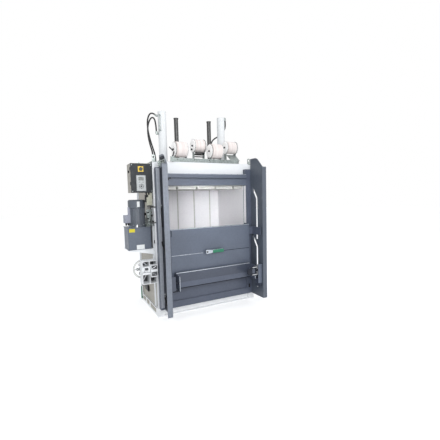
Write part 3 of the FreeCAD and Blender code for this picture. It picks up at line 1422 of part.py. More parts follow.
def feature(name, shape):
    solid = doc.addObject("Part::Feature", name)
    solid.Shape = shape
    solid.Placement = FreeCAD.Placement(FreeCAD.Vector(0, -size("frame_depth") / 2, 0),
                                        FreeCAD.Rotation())
    return solid


def route_points(route):
    return [FreeCAD.Vector(x, y, size("head_top") + z) for x, y, z in route]


def bar_between(start, finish, radius):
    along = finish - start
    return Part.makeCylinder(radius, along.Length, start, along)


def hose(name, route):
    """Round hose along straight runs joined by the widest arcs that they allow."""
    points = route_points(route)
    radius = size("hose_diameter") / 2
    edges = []
    bends = []
    start = points[0]
    for before, corner, after in zip(points, points[1:], points[2:]):
        inward = (before - corner).normalize()
        onward = (after - corner).normalize()
        turn = math.pi - inward.getAngle(onward)
        setback = 0.45 * min((before - corner).Length, (after - corner).Length)
        bend = setback / math.tan(turn / 2)
        bends.append(round(bend))
        middle = corner + (inward + onward).normalize() * bend * (1 / math.cos(turn / 2) - 1)
        enter = corner + inward * setback
        leave = corner + onward * setback
        edges.append(Part.LineSegment(start, enter).toShape())
        edges.append(Part.Arc(enter, middle, leave).toShape())
        start = leave
    edges.append(Part.LineSegment(start, points[-1]).toShape())
    path = Part.Wire(edges)
    section = Part.Wire([Part.makeCircle(radius, points[0], points[1] - points[0])])
    tube = path.makePipeShell([section], True, False)
    expected = math.pi * radius ** 2 * path.Length
    print(name, "length", round(path.Length), "bend radii", bends,
          "volume over section x length", round(tube.Volume / expected, 4))
    return node(feature(name, tube), name)


def hose_fittings():
    """Elbow of each hose at its cylinder, and its bulkhead on the head."""
    pieces = []
    sleeve = size("fitting_radius")
    barrel = size("cylinder_outer") / 2
    for name, sign, route in HOSES:
        points = route_points(route)
        port = points[0]
        onward = (points[1] - port).normalize()
        elbow = port - onward * size("fitting_length")
        axis = FreeCAD.Vector(sign * size("cylinder_across"), size("cylinder_back"), elbow.z)
        outer = bar_between(axis, elbow, sleeve)
        ball = Part.makeSphere(sleeve, elbow)
        inner = Part.makeCylinder(barrel, 4 * sleeve, axis - FreeCAD.Vector(0, 0, 2 * sleeve))
        pieces.append(outer.fuse([ball, bar_between(elbow, port, sleeve)]).cut(inner))
        foot = FreeCAD.Vector(points[-1].x, points[-1].y, size("head_top"))
        pieces.append(bar_between(foot, points[-1], sleeve))
    pieces.append(return_pipe())
    return node(feature("hose_fittings", Part.makeCompound(pieces)), "hose_fittings")


def return_pipe():
    """Steel pipe down the left cylinder's front, with a block at each end."""
    radius = size("pipe_radius")
    barrel = size("cylinder_outer") / 2
    centre = FreeCAD.Vector(-size("cylinder_across"), size("cylinder_back"), 0)
    spoke = FreeCAD.Vector(-1, -1, 0).normalize()
    at = centre + spoke * (barrel + 2 * radius)
    low = FreeCAD.Vector(at.x, at.y, size("return_low"))
    high = FreeCAD.Vector(at.x, at.y, size("return_high"))
    pipe = bar_between(low, high, radius)
    pieces = [pipe]
    core = Part.makeCylinder(barrel, size("return_high") + 4 * radius, centre)
    for end in (low, high):
        inner = FreeCAD.Vector(centre.x, centre.y, end.z)
        stub = bar_between(inner, end + spoke * 1.5 * radius, 1.6 * radius).cut(core)
        pieces.append(stub)
    return pieces[0].fuse(pieces[1:])


# ------------------------------------------------------------------------ main


def build():
    base_frame()
    frame_posts()
    side_walls()
    rear_wall()
    chamber_floor()
    head_frame()
    header_panel()
    lifting_lugs()
    cylinders()
    cylinder_bolts()
    guide_bushes()
    ram()
    strap_rack()
    reel_axles()
    strap_reels()
    door_frame()
    door_cross_beam()
    wings()
    hinges()
    feed_panel()
    feed_box_beam()
    roller_brackets()
    guide_rollers()
    feed_handle()
    lock_housing()
    lock_bolt()
    lock_shaft()
    handwheel()
    cabinet()
    control_panel()
    power_pack()
    motor()
    valve_block()
    pipework()
    ejector_lever()
    for name, _, route in HOSES:
        hose(name, route)
    hose_fittings()


def check():
    """Stop before anything is written if an object failed or a shape is unsound."""
    for item in doc.Objects:
        if "Invalid" in item.State or "Error" in item.State:
            raise RuntimeError(f"{item.Label} failed: {item.State}")
    for item in NODES:
        shape = item.Shape
        if shape.isNull() or not shape.isValid() or not shape.Solids:
            raise RuntimeError(f"{item.Label} has no sound solid")


build()
doc.recompute()
check()
os.makedirs("parts", exist_ok=True)
for item in NODES:
    item.Shape.exportStep(f"parts/{item.Label}.step")
print(len(NODES), "nodes")
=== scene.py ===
from math import copysign, cos, pi, radians, sin

import bmesh
import bpy
from mathutils import Matrix, Vector


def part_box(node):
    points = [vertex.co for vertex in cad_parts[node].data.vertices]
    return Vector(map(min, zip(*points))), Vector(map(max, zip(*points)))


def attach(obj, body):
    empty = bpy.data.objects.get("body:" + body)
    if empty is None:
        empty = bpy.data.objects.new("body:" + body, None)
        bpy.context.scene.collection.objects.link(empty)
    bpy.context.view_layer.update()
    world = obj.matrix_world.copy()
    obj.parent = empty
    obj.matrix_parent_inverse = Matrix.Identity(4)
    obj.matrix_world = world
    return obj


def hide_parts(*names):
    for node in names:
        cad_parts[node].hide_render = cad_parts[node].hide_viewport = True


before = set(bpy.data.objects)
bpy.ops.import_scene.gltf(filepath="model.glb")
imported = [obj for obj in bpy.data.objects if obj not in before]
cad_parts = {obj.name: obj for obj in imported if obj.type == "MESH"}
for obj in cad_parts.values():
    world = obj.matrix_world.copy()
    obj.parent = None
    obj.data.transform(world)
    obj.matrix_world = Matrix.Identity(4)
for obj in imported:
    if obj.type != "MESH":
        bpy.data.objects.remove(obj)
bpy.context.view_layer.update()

# Metres, in the frame of the CAD parts: +X right, +Y back, +Z up. FRONT is the plane of the frame's
# front and LEFT the plane of its left side.
LEFT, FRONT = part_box("frame_posts")[0][:2]

# Coats, which are body, finish and slot of the record, that several pieces share.
BLACK = ("frame", "black_plastic", "black_plastic")
STEEL = ("frame", "dark_steel", "dark_steel")
ZINC = ("frame", "zinc", "zinc")
BRIGHT = ("frame", "bright_steel", "bright_steel")
LINING_AND_SHADE = ("frame", "lining_and_shade_grey", "dark_steel")
KEYS = ("cabinet_lid", "key_grey", "black_plastic")
DOOR_BLACK = ("bale_door", "black_plastic", "black_plastic")
# Beads on the feed door: pale ones paint highlights, dark ones paint shade.
FEED_HIGHLIGHT = ("feed_door", "highlight_and_silver_grey", "light_grey_paint")
FEED_SHADE = ("feed_door", "shadow_grey", "grey_paint")
FEED_DARK = ("feed_door", "shadow_grey", "dark_steel")
# The handle's silver arm, and the pale bead that paints a highlight on its grip.
HANDLE_SILVER_AND_HIGHLIGHT = ("feed_handle", "highlight_and_silver_grey", "zinc")

# ---- shader helpers


def srgb(*screen):
    """Linear colour of an 8-bit screen colour."""
    def linear(value):
        value /= 255
        return value / 12.92 if value <= 0.04045 else ((value + 0.055) / 1.055) ** 2.4
    return (*map(linear, screen), 1.0)


def feed(tree, value, socket):
    """Sets a socket to a constant, or links an output to it."""
    if isinstance(value, (int, float, tuple)):
        socket.default_value = value
    else:
        tree.links.new(value, socket)


def wire(tree, target, **inputs):
    """Feeds the named inputs of a node, where _ stands for a space."""
    for name, value in inputs.items():
        feed(tree, value, target.inputs[name.replace("_", " ")])


def node(tree, kind, **inputs):
    """New shader node with values on its named inputs."""
    made = tree.nodes.new("ShaderNode" + kind)
    wire(tree, made, **inputs)
    return made


def painted(name):
    """New material with its node tree and its shader."""
    paint = bpy.data.materials.new(name)
    paint.use_nodes = True
    return paint, paint.node_tree, paint.node_tree.nodes["Principled BSDF"]


def math_node(tree, operation, first, second):
    made = node(tree, "Math")
    made.operation = operation
    feed(tree, first, made.inputs[0])
    feed(tree, second, made.inputs[1])
    return made.outputs[0]


def noise(tree, place, scale, detail):
    return node(tree, "TexNoise", Vector=place, Scale=scale, Detail=detail).outputs["Fac"]


def stretched(tree, place, scale):
    return node(tree, "Mapping", Vector=place, Scale=scale).outputs["Vector"]


def spread(tree, value, low, high, to_low=0.0, to_high=1.0):
    """Value moved from the range of low to high into another one."""
    return node(tree, "MapRange", Value=value, From_Min=low, From_Max=high, To_Min=to_low,
                To_Max=to_high).outputs["Result"]


def mixed(tree, factor, first, second):
    blend = node(tree, "Mix", Factor=factor)
    blend.data_type = "RGBA"
    colors = [socket for socket in blend.inputs if socket.type == "RGBA"]
    feed(tree, first, colors[0])
    feed(tree, second, colors[1])
    return next(socket for socket in blend.outputs if socket.type == "RGBA")


def seen_as_white(tree):
    """Factor that is 1 for rays from the camera and for those that metal and glass send on."""
    ray = node(tree, "LightPath").outputs
    mirrored = math_node(tree, "MAXIMUM", ray["Is Camera Ray"], ray["Is Glossy Ray"])
    return math_node(tree, "MAXIMUM", mirrored, ray["Is Transmission Ray"])


# ---- camera, light and floor

# The photograph's eye point is given from the frame's front plane, its angles in radians.
CAMERA_PLACE = Vector((-1.844, -3.838 + FRONT, 1.589))
CAMERA_YAW = 0.478
CAMERA_PITCH = 0.090
CAMERA_ROLL = -0.024
FOCAL_PIXELS = 301.2
IMAGE_PIXELS = 440
CENTRE_PIXELS = (216.64, 223.92)
SENSOR_MM = 36.0

# Name, place, target, width, height, watts and cone in degrees of each lamp.
LAMPS = (
    ("key", (-0.6, -5.6, 2.9), (0.0, -0.3, 1.2), 3.4, 2.6, 160, 180),
    ("top", (0.4, -0.4, 5.8), (0.0, 0.0, 1.4), 3.4, 3.0, 42, 180),
    ("side", (-2.9, -2.7, 3.0), (-0.7, -0.7, 1.7), 1.6, 1.6, 14, 180),
    ("inside", (-1.5, -2.9, 1.52), (0.3, 0.0, 1.44), 0.7, 0.15, 0.95, 22),
)
WHITE = (1.0, 1.0, 1.0, 1.0)
FILL_COLOR = (0.93, 0.96, 1.0, 1.0)
FILL_STRENGTH = 0.72
FLOOR_COLOR = (0.92, 0.92, 0.92, 1.0)
FLOOR_ROUGHNESS = 0.9
FLOOR_GLOW = 0.36
FLOOR_WIDTH = 60.0


def placed(name, data):
    """New object in the scene."""
    thing = bpy.data.objects.new(name, data)
    bpy.context.scene.collection.objects.link(thing)
    return thing


def photo_camera():
    """Camera that looks at the object as the photograph's did."""
    optics = bpy.data.cameras.new("camera")
    camera = placed("camera", optics)
    forward = Vector((sin(CAMERA_YAW) * cos(CAMERA_PITCH),
                      cos(CAMERA_YAW) * cos(CAMERA_PITCH),
                      -sin(CAMERA_PITCH)))
    level = Vector((cos(CAMERA_YAW), -sin(CAMERA_YAW), 0.0))
    upright = level.cross(forward)
    right = cos(CAMERA_ROLL) * level + sin(CAMERA_ROLL) * upright
    up = -sin(CAMERA_ROLL) * level + cos(CAMERA_ROLL) * upright
    turn = Matrix((right, up, -forward)).transposed()
    camera.matrix_world = Matrix.Translation(CAMERA_PLACE) @ turn.to_4x4()
    optics.sensor_width = SENSOR_MM
    optics.lens = FOCAL_PIXELS * SENSOR_MM / IMAGE_PIXELS
    optics.shift_x = (IMAGE_PIXELS / 2 - CENTRE_PIXELS[0]) / IMAGE_PIXELS
    optics.shift_y = (CENTRE_PIXELS[1] - IMAGE_PIXELS / 2) / IMAGE_PIXELS
    optics.clip_end = 100.0
    bpy.context.scene.camera = camera


def area_lamp(name, place, target, width, height, watts, cone):
    lamp = bpy.data.lights.new(name, "AREA")
    lamp.shape = "RECTANGLE"
    lamp.size = width
    lamp.size_y = height
    lamp.energy = watts
    lamp.spread = radians(cone)
    holder = placed(name, lamp)
    holder.location = place
    holder.rotation_euler = (Vector(target) - Vector(place)).to_track_quat("-Z", "Y").to_euler()


def studio():
    """White background for the camera, a dimmer fill for the object, and the lamps."""
    world = bpy.data.worlds.new("studio")
    bpy.context.scene.world = world
    world.use_nodes = True
    tree = world.node_tree
    tree.nodes.clear()
    mix = node(tree, "MixShader")
    feed(tree, seen_as_white(tree), mix.inputs[0])
    for index, color, strength in ((1, FILL_COLOR, FILL_STRENGTH), (2, WHITE, 1.0)):
        feed(tree, node(tree, "Background", Color=color, Strength=strength).outputs[0], mix.inputs[index])
    node(tree, "OutputWorld", Surface=mix.outputs[0])
    for lamp in LAMPS:
        area_lamp(*lamp)


def floor():
    """Floor that keeps the object's shadow, white to the camera without lighting the object."""
    bpy.ops.mesh.primitive_plane_add(size=FLOOR_WIDTH, location=(0.0, 0.0, 0.0))
    ground = bpy.context.object
    ground.name = "studio_floor"
    paint, tree, shader = painted("studio_floor")
    wire(tree, shader, Base_Color=FLOOR_COLOR, Roughness=FLOOR_ROUGHNESS)
    level = math_node(tree, "MULTIPLY", seen_as_white(tree), FLOOR_GLOW)
    both = node(tree, "AddShader")
    feed(tree, shader.outputs[0], both.inputs[0])
    feed(tree, node(tree, "Emission", Strength=level).outputs[0], both.inputs[1])
    wire(tree, tree.nodes["Material Output"], Surface=both.outputs[0])
    ground.data.materials.append(paint)


# ---- materials

FINISHES = {}
BROAD_SCALE = 3.5
SMALL_SCALE = 38.0
EDGE_RADIUS = 0.0025
BUMP_STRENGTH = 0.5
DARKER = 0.72


def rub_and_highlight_edges(tree, small, rub_and_highlight_amount):
    """Normals rounded at the edges, and a factor that is high along edges, for rubbed paint and for
    painted highlights.
    """
    bevel = node(tree, "Bevel", Radius=EDGE_RADIUS)
    bevel.samples = 4
    turn = node(tree, "VectorMath")
    turn.operation = "DOT_PRODUCT"
    feed(tree, bevel.outputs["Normal"], turn.inputs[0])
    feed(tree, node(tree, "NewGeometry").outputs["Normal"], turn.inputs[1])
    rim = spread(tree, turn.outputs["Value"], 0.999, 0.90, 0.0, rub_and_highlight_amount)
    rub_and_highlight_factor = math_node(tree, "MULTIPLY", rim, spread(tree, small, 0.35, 0.65))
    return bevel.outputs["Normal"], rub_and_highlight_factor


def surface(name, color, rough=0.4, metal=0.0, patchy=0.12, tint=None, rub_and_highlight_color=None, rub_and_highlight_amount=0.5, grain=320.0,
            relief=0.00012, streak=None, groove_shade=None, glow=0.0, sheen=0.5):
    """Procedural finish: patchy colour, dark bands of painted groove shade, fine grain, an edge tint for
    rubbed paint and painted highlights, uneven gloss, and a glow of painted light.
    """
    paint, tree, shader = painted(name)
    place = node(tree, "TexCoord").outputs["Object"]
    broad = noise(tree, place, BROAD_SCALE, 5.0)
    small = noise(tree, place, SMALL_SCALE, 4.0)
    fine = noise(tree, stretched(tree, place, streak) if streak else place, grain, 3.0)
    main = srgb(*color)
    darker = srgb(*tint) if tint else tuple(channel * DARKER for channel in main[:3]) + (1.0,)
    tone = spread(tree, math_node(tree, "ADD", broad, small), 0.75, 1.25, 0.0, min(1.0, patchy * 4.0))
    body = mixed(tree, tone, main, darker)
    # Dark bands across the windings: painted shade of the grooves between turns.
    if groove_shade:
        groove_shade_noise = noise(tree, stretched(tree, place, groove_shade), 1.0, 2.0)
        body = mixed(tree, spread(tree, groove_shade_noise, 0.35, 0.65), body, darker)
    bump = node(tree, "Bump", Strength=BUMP_STRENGTH, Distance=relief, Height=fine)
    # Edge tint: rubbed paint, and on the box beam a painted highlight.
    if rub_and_highlight_color:
        rounded, rub_and_highlight_factor = rub_and_highlight_edges(tree, small, rub_and_highlight_amount)
        body = mixed(tree, rub_and_highlight_factor, body, srgb(*rub_and_highlight_color))
        wire(tree, bump, Normal=rounded)
    gloss = spread(tree, small, 0.3, 0.7, max(0.03, rough - 0.07), min(1.0, rough + 0.09))
    wire(tree, shader, Base_Color=body, Roughness=gloss, Normal=bump.outputs["Normal"], Metallic=metal,
         Specular_IOR_Level=sheen)
    if glow:
        wire(tree, shader, Emission_Color=main, Emission_Strength=glow)
    FINISHES[name] = paint


# Colours are 8-bit screen colours.
surface("front_grey", (89, 97, 112), 0.36, rub_and_highlight_color=(160, 168, 180))
surface("door_grey", (80, 87, 103), 0.38, rub_and_highlight_color=(150, 158, 170))
# The box beam's pale edge tint paints highlights along its edges.
surface("beam_grey", (67, 73, 87), 0.34, rub_and_highlight_color=(196, 202, 210), rub_and_highlight_amount=0.8)
surface("wing_grey", (85, 92, 103), rub_and_highlight_color=(150, 158, 168))
# A lighter copy of the right wing's grey for the left wing: painted light.
surface("wing_lit_grey", (119, 125, 136), patchy=0.18, rub_and_highlight_color=(172, 178, 186))
# Pale grey for the strip on the left stile's front: painted light.
surface("stile_lit_grey", (171, 176, 185), patchy=0.16, rub_and_highlight_color=(190, 194, 202))
surface("web_grey", (214, 214, 210), 0.5, patchy=0.16, tint=(182, 182, 178), rub_and_highlight_color=(170, 170, 166))
surface("edge_dark", (120, 122, 126), 0.4, 0.2, patchy=0.1)
# Pale grey for beads that paint highlights along edges, and for the handle's silver arm.
surface("highlight_and_silver_grey", (183, 189, 198), 0.3, 0.3, patchy=0.1, rub_and_highlight_color=(214, 218, 224))
surface("shadow_grey", (44, 47, 55), 0.5, patchy=0.14, rub_and_highlight_color=(74, 78, 88), rub_and_highlight_amount=0.3, sheen=0.12)
# Grey beige: painted shade of the white paint on the left side wall and the base's sides, and the colour
# of the pipe line down the front post.
surface("shade_and_pipe_grey", (171, 166, 156), 0.5, patchy=0.2, tint=(150, 146, 136), rub_and_highlight_color=(214, 212, 206))
surface("wheel_zinc", (186, 190, 190), 0.4, 0.3, rub_and_highlight_color=(236, 238, 238))
# The reel discs glow a little: painted light.
surface("disc_glowing_white", (242, 240, 238), 0.42, patchy=0.06, tint=(226, 222, 220), rub_and_highlight_color=(200, 198, 196),
        rub_and_highlight_amount=0.3, glow=0.16)
surface("rack_zinc", (162, 170, 169), 0.36, 0.6, patchy=0.3, tint=(118, 126, 124), rub_and_highlight_color=(206, 210, 210),
        rub_and_highlight_amount=0.8)
surface("label_yellow", (206, 192, 34), patchy=0.05)
surface("cabinet_grey", (37, 41, 45), 0.62, rub_and_highlight_color=(112, 116, 122))
surface("machine_white", (232, 234, 236), 0.38, patchy=0.05, tint=(212, 214, 216), rub_and_highlight_color=(196, 198, 202),
        sheen=0.3)
# A brighter copy of the machine's white: painted light on the base frame.
surface("base_lit_white", (246, 247, 248), 0.42, patchy=0.05, tint=(230, 231, 233), rub_and_highlight_color=(200, 202, 206),
        sheen=0.3)
surface("cylinder_white", (224, 226, 227), 0.5, patchy=0.05, tint=(214, 217, 218), rub_and_highlight_color=(196, 200, 204),
        sheen=0.15)
# A brighter copy of the machine's white: painted light in the chamber and on the right stile's liner.
surface("chamber_lit_white", (248, 247, 250), 0.5, patchy=0.08, tint=(228, 225, 232), rub_and_highlight_color=(180, 182, 186))
surface("zinc", (168, 176, 174), 0.34, 0.85, patchy=0.18, rub_and_highlight_color=(210, 214, 214))
surface("bright_steel", (205, 207, 210), 0.2, 1.0, patchy=0.05, streak=(1.0, 1.0, 14.0),
        rub_and_highlight_color=(235, 236, 238))
surface("dark_steel", (78, 78, 78), 0.34, 0.6, patchy=0.1, rub_and_highlight_color=(130, 130, 130))
surface("motor_grey", (87, 93, 102), 0.42, rub_and_highlight_color=(160, 166, 176))
surface("rib_grey", (106, 112, 121), patchy=0.16, rub_and_highlight_color=(176, 182, 190))
surface("tank_grey", (94, 102, 115), 0.42, rub_and_highlight_color=(170, 176, 184))
surface("black_plastic", (28, 28, 30), 0.42, patchy=0.1, rub_and_highlight_color=(66, 66, 70), rub_and_highlight_amount=0.3, sheen=0.25)
# Its bands across the windings paint the shade of the grooves between turns.
surface("strap_white", (236, 230, 227), 0.5, patchy=0.08, tint=(212, 200, 196), grain=180.0,
        groove_shade=(95.0, 0.6, 0.6))
surface("yellow_plastic", (226, 190, 44), 0.36, patchy=0.05, rub_and_highlight_color=(244, 222, 120), rub_and_highlight_amount=0.3)
surface("green_paint", (35, 116, 87), rub_and_highlight_color=(96, 160, 136))
surface("black_rubber", (36, 36, 38), 0.5, patchy=0.1, tint=(24, 24, 26), grain=240.0, relief=0.0003)
surface("panel_plastic", (175, 179, 180), patchy=0.04, rub_and_highlight_color=(214, 218, 218), rub_and_highlight_amount=0.2)
surface("label_white", (222, 225, 225), patchy=0.05)
surface("display_glass", (92, 98, 94), 0.12, patchy=0.06, tint=(78, 84, 80), relief=0.00002)
surface("key_grey", (60, 62, 66), patchy=0.06, rub_and_highlight_color=(130, 132, 136), rub_and_highlight_amount=0.3)
surface("cabinet_beige", (152, 148, 139), 0.45, patchy=0.06, rub_and_highlight_color=(220, 218, 210))
surface("duct_beige", (183, 183, 166), 0.5, patchy=0.16, tint=(140, 140, 124), rub_and_highlight_color=(206, 206, 196))
surface("terminal_lilac", (141, 144, 158), 0.42, patchy=0.14, rub_and_highlight_color=(190, 192, 204))
# Dark lining and windows of the lock, and the dark beads along the base, which paint shade.
surface("lining_and_shade_grey", (74, 76, 80), 0.6, patchy=0.2)

# The names of the CAD nodes that show each finish.
NODE_FINISH = {
    "base_lit_white": "base_frame",
    "machine_white": "frame_posts head_frame header_panel lock_housing tank_shelf",
    "shade_and_pipe_grey": "side_wall_left",
    "cylinder_white": "cylinders",
    "chamber_lit_white": "rear_wall chamber_floor side_wall_right",
    "web_grey": "ram_plate",
    "zinc": "cylinder_bolts hose_fittings guide_bushes lifting_lugs switchgear "
            "roller_high_left roller_high_right roller_low_left roller_low_right",
    "rack_zinc": "strap_rack valve_block",
    "wheel_zinc": "handwheel",
    "black_plastic": "reel_axles motor_fan",
    "front_grey": "door_cross_beam feed_panel handle_base",
    "door_grey": "hinge_frame_leaves door_frame hinge_door_leaves roller_brackets",
    "wing_grey": "wing_right",
    "wing_lit_grey": "wing_left",
    "beam_grey": "feed_box_beam",
    "cabinet_grey": "cabinet_door",
    "cabinet_beige": "cabinet_body",
    "tank_grey": "oil_tank tank_lid",
    "motor_grey": "fan_cowl",
    "rib_grey": "motor_body",
    "terminal_lilac": "terminal_box",
    "bright_steel": "piston_rods lock_shaft lock_bolt",
    "dark_steel": "guide_tubes pipework",
    "green_paint": "feed_handle ejector_lever",
    "strap_white": "strap_reel_1 strap_reel_2 strap_reel_3 strap_reel_4",
    "yellow_plastic": "switch_plate",
    "key_grey": "switch_knob",
    "panel_plastic": "control_panel",
}


def dress_nodes():
    for finish, names in NODE_FINISH.items():
        for name in names.split():
            for slot in bpy.data.objects[name].material_slots:
                slot.material = FINISHES[finish]


# ---- mesh helpers

SHARP_ANGLE = radians(38)
LOFT_FACETS = 20
SQUARENESS = 0.6
BOX_FACES = ((0, 1, 3, 2), (4, 6, 7, 5), (0, 4, 5, 1), (2, 3, 7, 6), (0, 2, 6, 4), (1, 5, 7, 3))


def box_of(name):
    """Lowest and highest corner of a CAD node as vectors."""
    low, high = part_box(name)
    return Vector(low), Vector(high)


def span(origin, start, end):
    """Range between two distances from an origin."""
    return origin + start, origin + end


def dressed(name, mesh, coat, soften=0.0):
    """Object of the mesh with softened edges. The coat is its body, finish and slot of the record; the
    slot is not used.
    """
    body, finish, slot = coat
    mesh.materials.append(FINISHES[finish])
    mesh.shade_smooth()
    mesh.set_sharp_from_angle(angle=SHARP_ANGLE)
    piece = placed(name, mesh)
    if soften:
        bevel = piece.modifiers.new("soft_edges", "BEVEL")
        bevel.width = soften
        bevel.segments = 2
        bevel.limit_method = "ANGLE"
        bevel.angle_limit = SHARP_ANGLE
    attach(piece, body)
    return piece


def shaped(name, work, coat, soften=0.0):
    """Object of a bmesh, which is used up."""
    bmesh.ops.recalc_face_normals(work, faces=work.faces)
    mesh = bpy.data.meshes.new(name)
    work.to_mesh(mesh)
    work.free()
    return dressed(name, mesh, coat, soften)


def plates(name, ranges, coat, soften=0.0008):
    """Sheets and bars given by their x, y and z ranges."""
    work = bmesh.new()
    for across, deep, tall in ranges:
        corners = [work.verts.new((x, y, z)) for x in across for y in deep for z in tall]
        for face in BOX_FACES:
            work.faces.new([corners[index] for index in face])
    return shaped(name, work, coat, soften)


def angles_round(count, first=0):
    """Even angles round a circle in radians, from the first one in degrees."""
    return [radians(first + 360 * step / count) for step in range(count)]


def ring_of(work, centre, side, up, radius, count):
    """Points on a circle across the side and up directions."""
    angles = [2 * pi * step / count for step in range(count)]
    return [work.verts.new(centre + radius * (cos(angle) * side + sin(angle) * up)) for angle in angles]


def skin(work, loops, closed=False):
    """Faces between loops of points, with an end face on the first and last loop unless closed."""
    back_to_start = [loops[0]] if closed else []
    for first, second in zip(loops, loops[1:] + back_to_start):
        count = len(first)
        for step in range(count):
            after = (step + 1) % count
            work.faces.new((first[step], first[after], second[after], second[step]))
    if not closed:
        work.faces.new(loops[0])
        work.faces.new(loops[-1])


def turned(name, items, coat, count=24, soften=0.0, closed=False):
    """Turned parts, each from a start, an axis and steps of (distance along, radius)."""
    work = bmesh.new()
    for start, axis, steps in items:
        axis = Vector(axis).normalized()
        side = axis.orthogonal().normalized()
        up = axis.cross(side)
        skin(work, [ring_of(work, Vector(start) + along * axis, side, up, radius, count)
                    for along, radius in steps], closed)
    return shaped(name, work, coat, soften)


def rings(name, items, coat, count=64):
    """Turned rings, whose steps of (distance along, radius) make a closed run."""
    return turned(name, items, coat, count, closed=True)


def hex_fitting(size, length):
    """Steps of a hexagon with a thinner neck, for turned parts with six sides."""
    return [(0.0, size * 0.9), (0.06 * length, size), (0.6 * length, size), (0.66 * length, size * 0.8),
            (length, size * 0.8)]


def beads(name, lines, radius, coat):
    """Straight weld beads and rolled edges between two points each."""
    items = []
    for start, end in lines:
        run = Vector(end) - Vector(start)
        steps = [(0.0, radius * 0.6), (radius * 0.5, radius), (run.length - radius * 0.5, radius),
                 (run.length, radius * 0.6)]
        items.append((start, run, steps))
    return turned(name, items, coat, 12)


def round_curve(name, routes, radius, facets, steps):
    """Curve with a round section through the points of each route."""
    line = bpy.data.curves.new(name, "CURVE")
    line.dimensions = "3D"
    line.bevel_depth = radius
    line.bevel_resolution = facets
    line.resolution_u = steps
    for route in routes:
        spline = line.splines.new("NURBS")
        spline.points.add(len(route) - 1)
        for point, place in zip(spline.points, route):
            point.co = (*place, 1.0)
        spline.order_u = min(3, len(route))
        spline.use_endpoint_u = True
    return line


def pipes(name, routes, radius, coat):
    """Bent round bars through the points of each route."""
    line = round_curve(name, routes, radius, 3, 6)
    line.use_fill_caps = True
    holder = bpy.data.objects.new(name + "_route", line)
    mesh = bpy.data.meshes.new_from_object(holder)
    bpy.data.objects.remove(holder)
    return dressed(name, mesh, coat)


def lofted(name, sections, coat):
    """Rounded bar along X through sections of (x, y, z, half depth, half height)."""
    work = bmesh.new()
    outlines = []
    for x, y, z, deep, tall in sections:
        outline = []
        for step in range(LOFT_FACETS):
            angle = 2 * pi * (step + 0.5) / LOFT_FACETS
            bulge = [copysign(abs(part) ** SQUARENESS, part) for part in (cos(angle), sin(angle))]
            outline.append(work.verts.new((x, y + deep * bulge[0], z + tall * bulge[1])))
        outlines.append(outline)
    skin(work, outlines)
    return shaped(name, work, coat)


# ---- strap rolls and rack

REELS = ("strap_reel_1", "strap_reel_2", "strap_reel_3", "strap_reel_4")
STRAP_TURNS = 10
STRAP_LAYERS = 12
ROLL_CORE = 0.036
ROLL_BORE = 0.0088
ROLL_FACETS = 96
WINDING_DEPTH = 0.0014
DISC_REACH = 0.0935
DISC_OFFSET = 0.0822
DISC_BORE = 0.0128


def roll_ring(work, centre, along, reach, half, wound):
    """Ring of points of a roll. A wound one dips where one turn of the strap meets the next."""
    points = []
    for step in range(ROLL_FACETS):
        angle = 2 * pi * step / ROLL_FACETS
        out = reach
        if wound:
            phase = ((along + half) / (2 * half) * STRAP_TURNS + step / ROLL_FACETS) % 1.0
            out = reach - WINDING_DEPTH * (2 * phase - 1) ** 6
        points.append(work.verts.new((centre.x + along, centre.y + out * cos(angle),
                                      centre.z + out * sin(angle))))
    return points


def strap_roll(name):
    """Strap wound side by side in a shallow helix on a plastic core, its layers showing at the sides."""
    low, high = box_of(name)
    centre = (low + high) / 2
    radius = (high.z - low.z) / 2
    half = (high.x - low.x) / 2
    work = bmesh.new()
    side = [(half - 0.004, ROLL_BORE), (half - 0.004, ROLL_CORE - 0.003),
            (half - 0.0005, ROLL_CORE - 0.0025), (half - 0.0005, ROLL_CORE)]
    for layer in range(STRAP_LAYERS):
        reach = ROLL_CORE + (radius - 0.002 - ROLL_CORE) * (layer + 0.5) / STRAP_LAYERS
        side.append((half - (0.0012 if layer % 2 else 0.0002), reach))
    steps = STRAP_TURNS * 8
    outlines = [roll_ring(work, centre, -along, reach, half, False) for along, reach in side]
    outlines += [roll_ring(work, centre, (half - 0.0004) * (2 * step / steps - 1), radius, half, True)
                 for step in range(steps + 1)]
    outlines += [roll_ring(work, centre, along, reach, half, False) for along, reach in reversed(side)]
    skin(work, outlines, closed=True)
    piece = shaped(name + "_wound", work, (name.replace("strap_", ""), "strap_white", "white_strap"))
    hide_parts(name)


def reel_discs():
    """White plastic discs with dark rims on the rack's cheeks."""
    profile = [(0.0, DISC_BORE), (0.0, DISC_REACH), (0.004, DISC_REACH + 0.0015),
               (0.008, DISC_REACH - 0.001), (0.0125, DISC_REACH - 0.012), (0.0125, 0.034),
               (0.0075, 0.028), (0.0075, DISC_BORE)]
    rim = [(0.0, DISC_REACH - 0.004), (0.0, DISC_REACH + 0.0022), (0.0018, DISC_REACH + 0.0022),
           (0.0018, DISC_REACH - 0.004)]
    discs = []
    outlines = []
    for reel in REELS:
        low, high = box_of(reel)
        for side in (-1, 1):
            start = (low + high) / 2 + Vector((side * DISC_OFFSET, 0, 0))
            discs.append((start, (side, 0, 0), profile))
            outlines.append((start + Vector((side * 0.0052, 0, 0)), (side, 0, 0), rim))
    rings("reel_discs", discs, ("frame", "disc_glowing_white", "white_strap"))
    rings("reel_disc_rims", outlines, ("frame", "edge_dark", "dark_steel"))


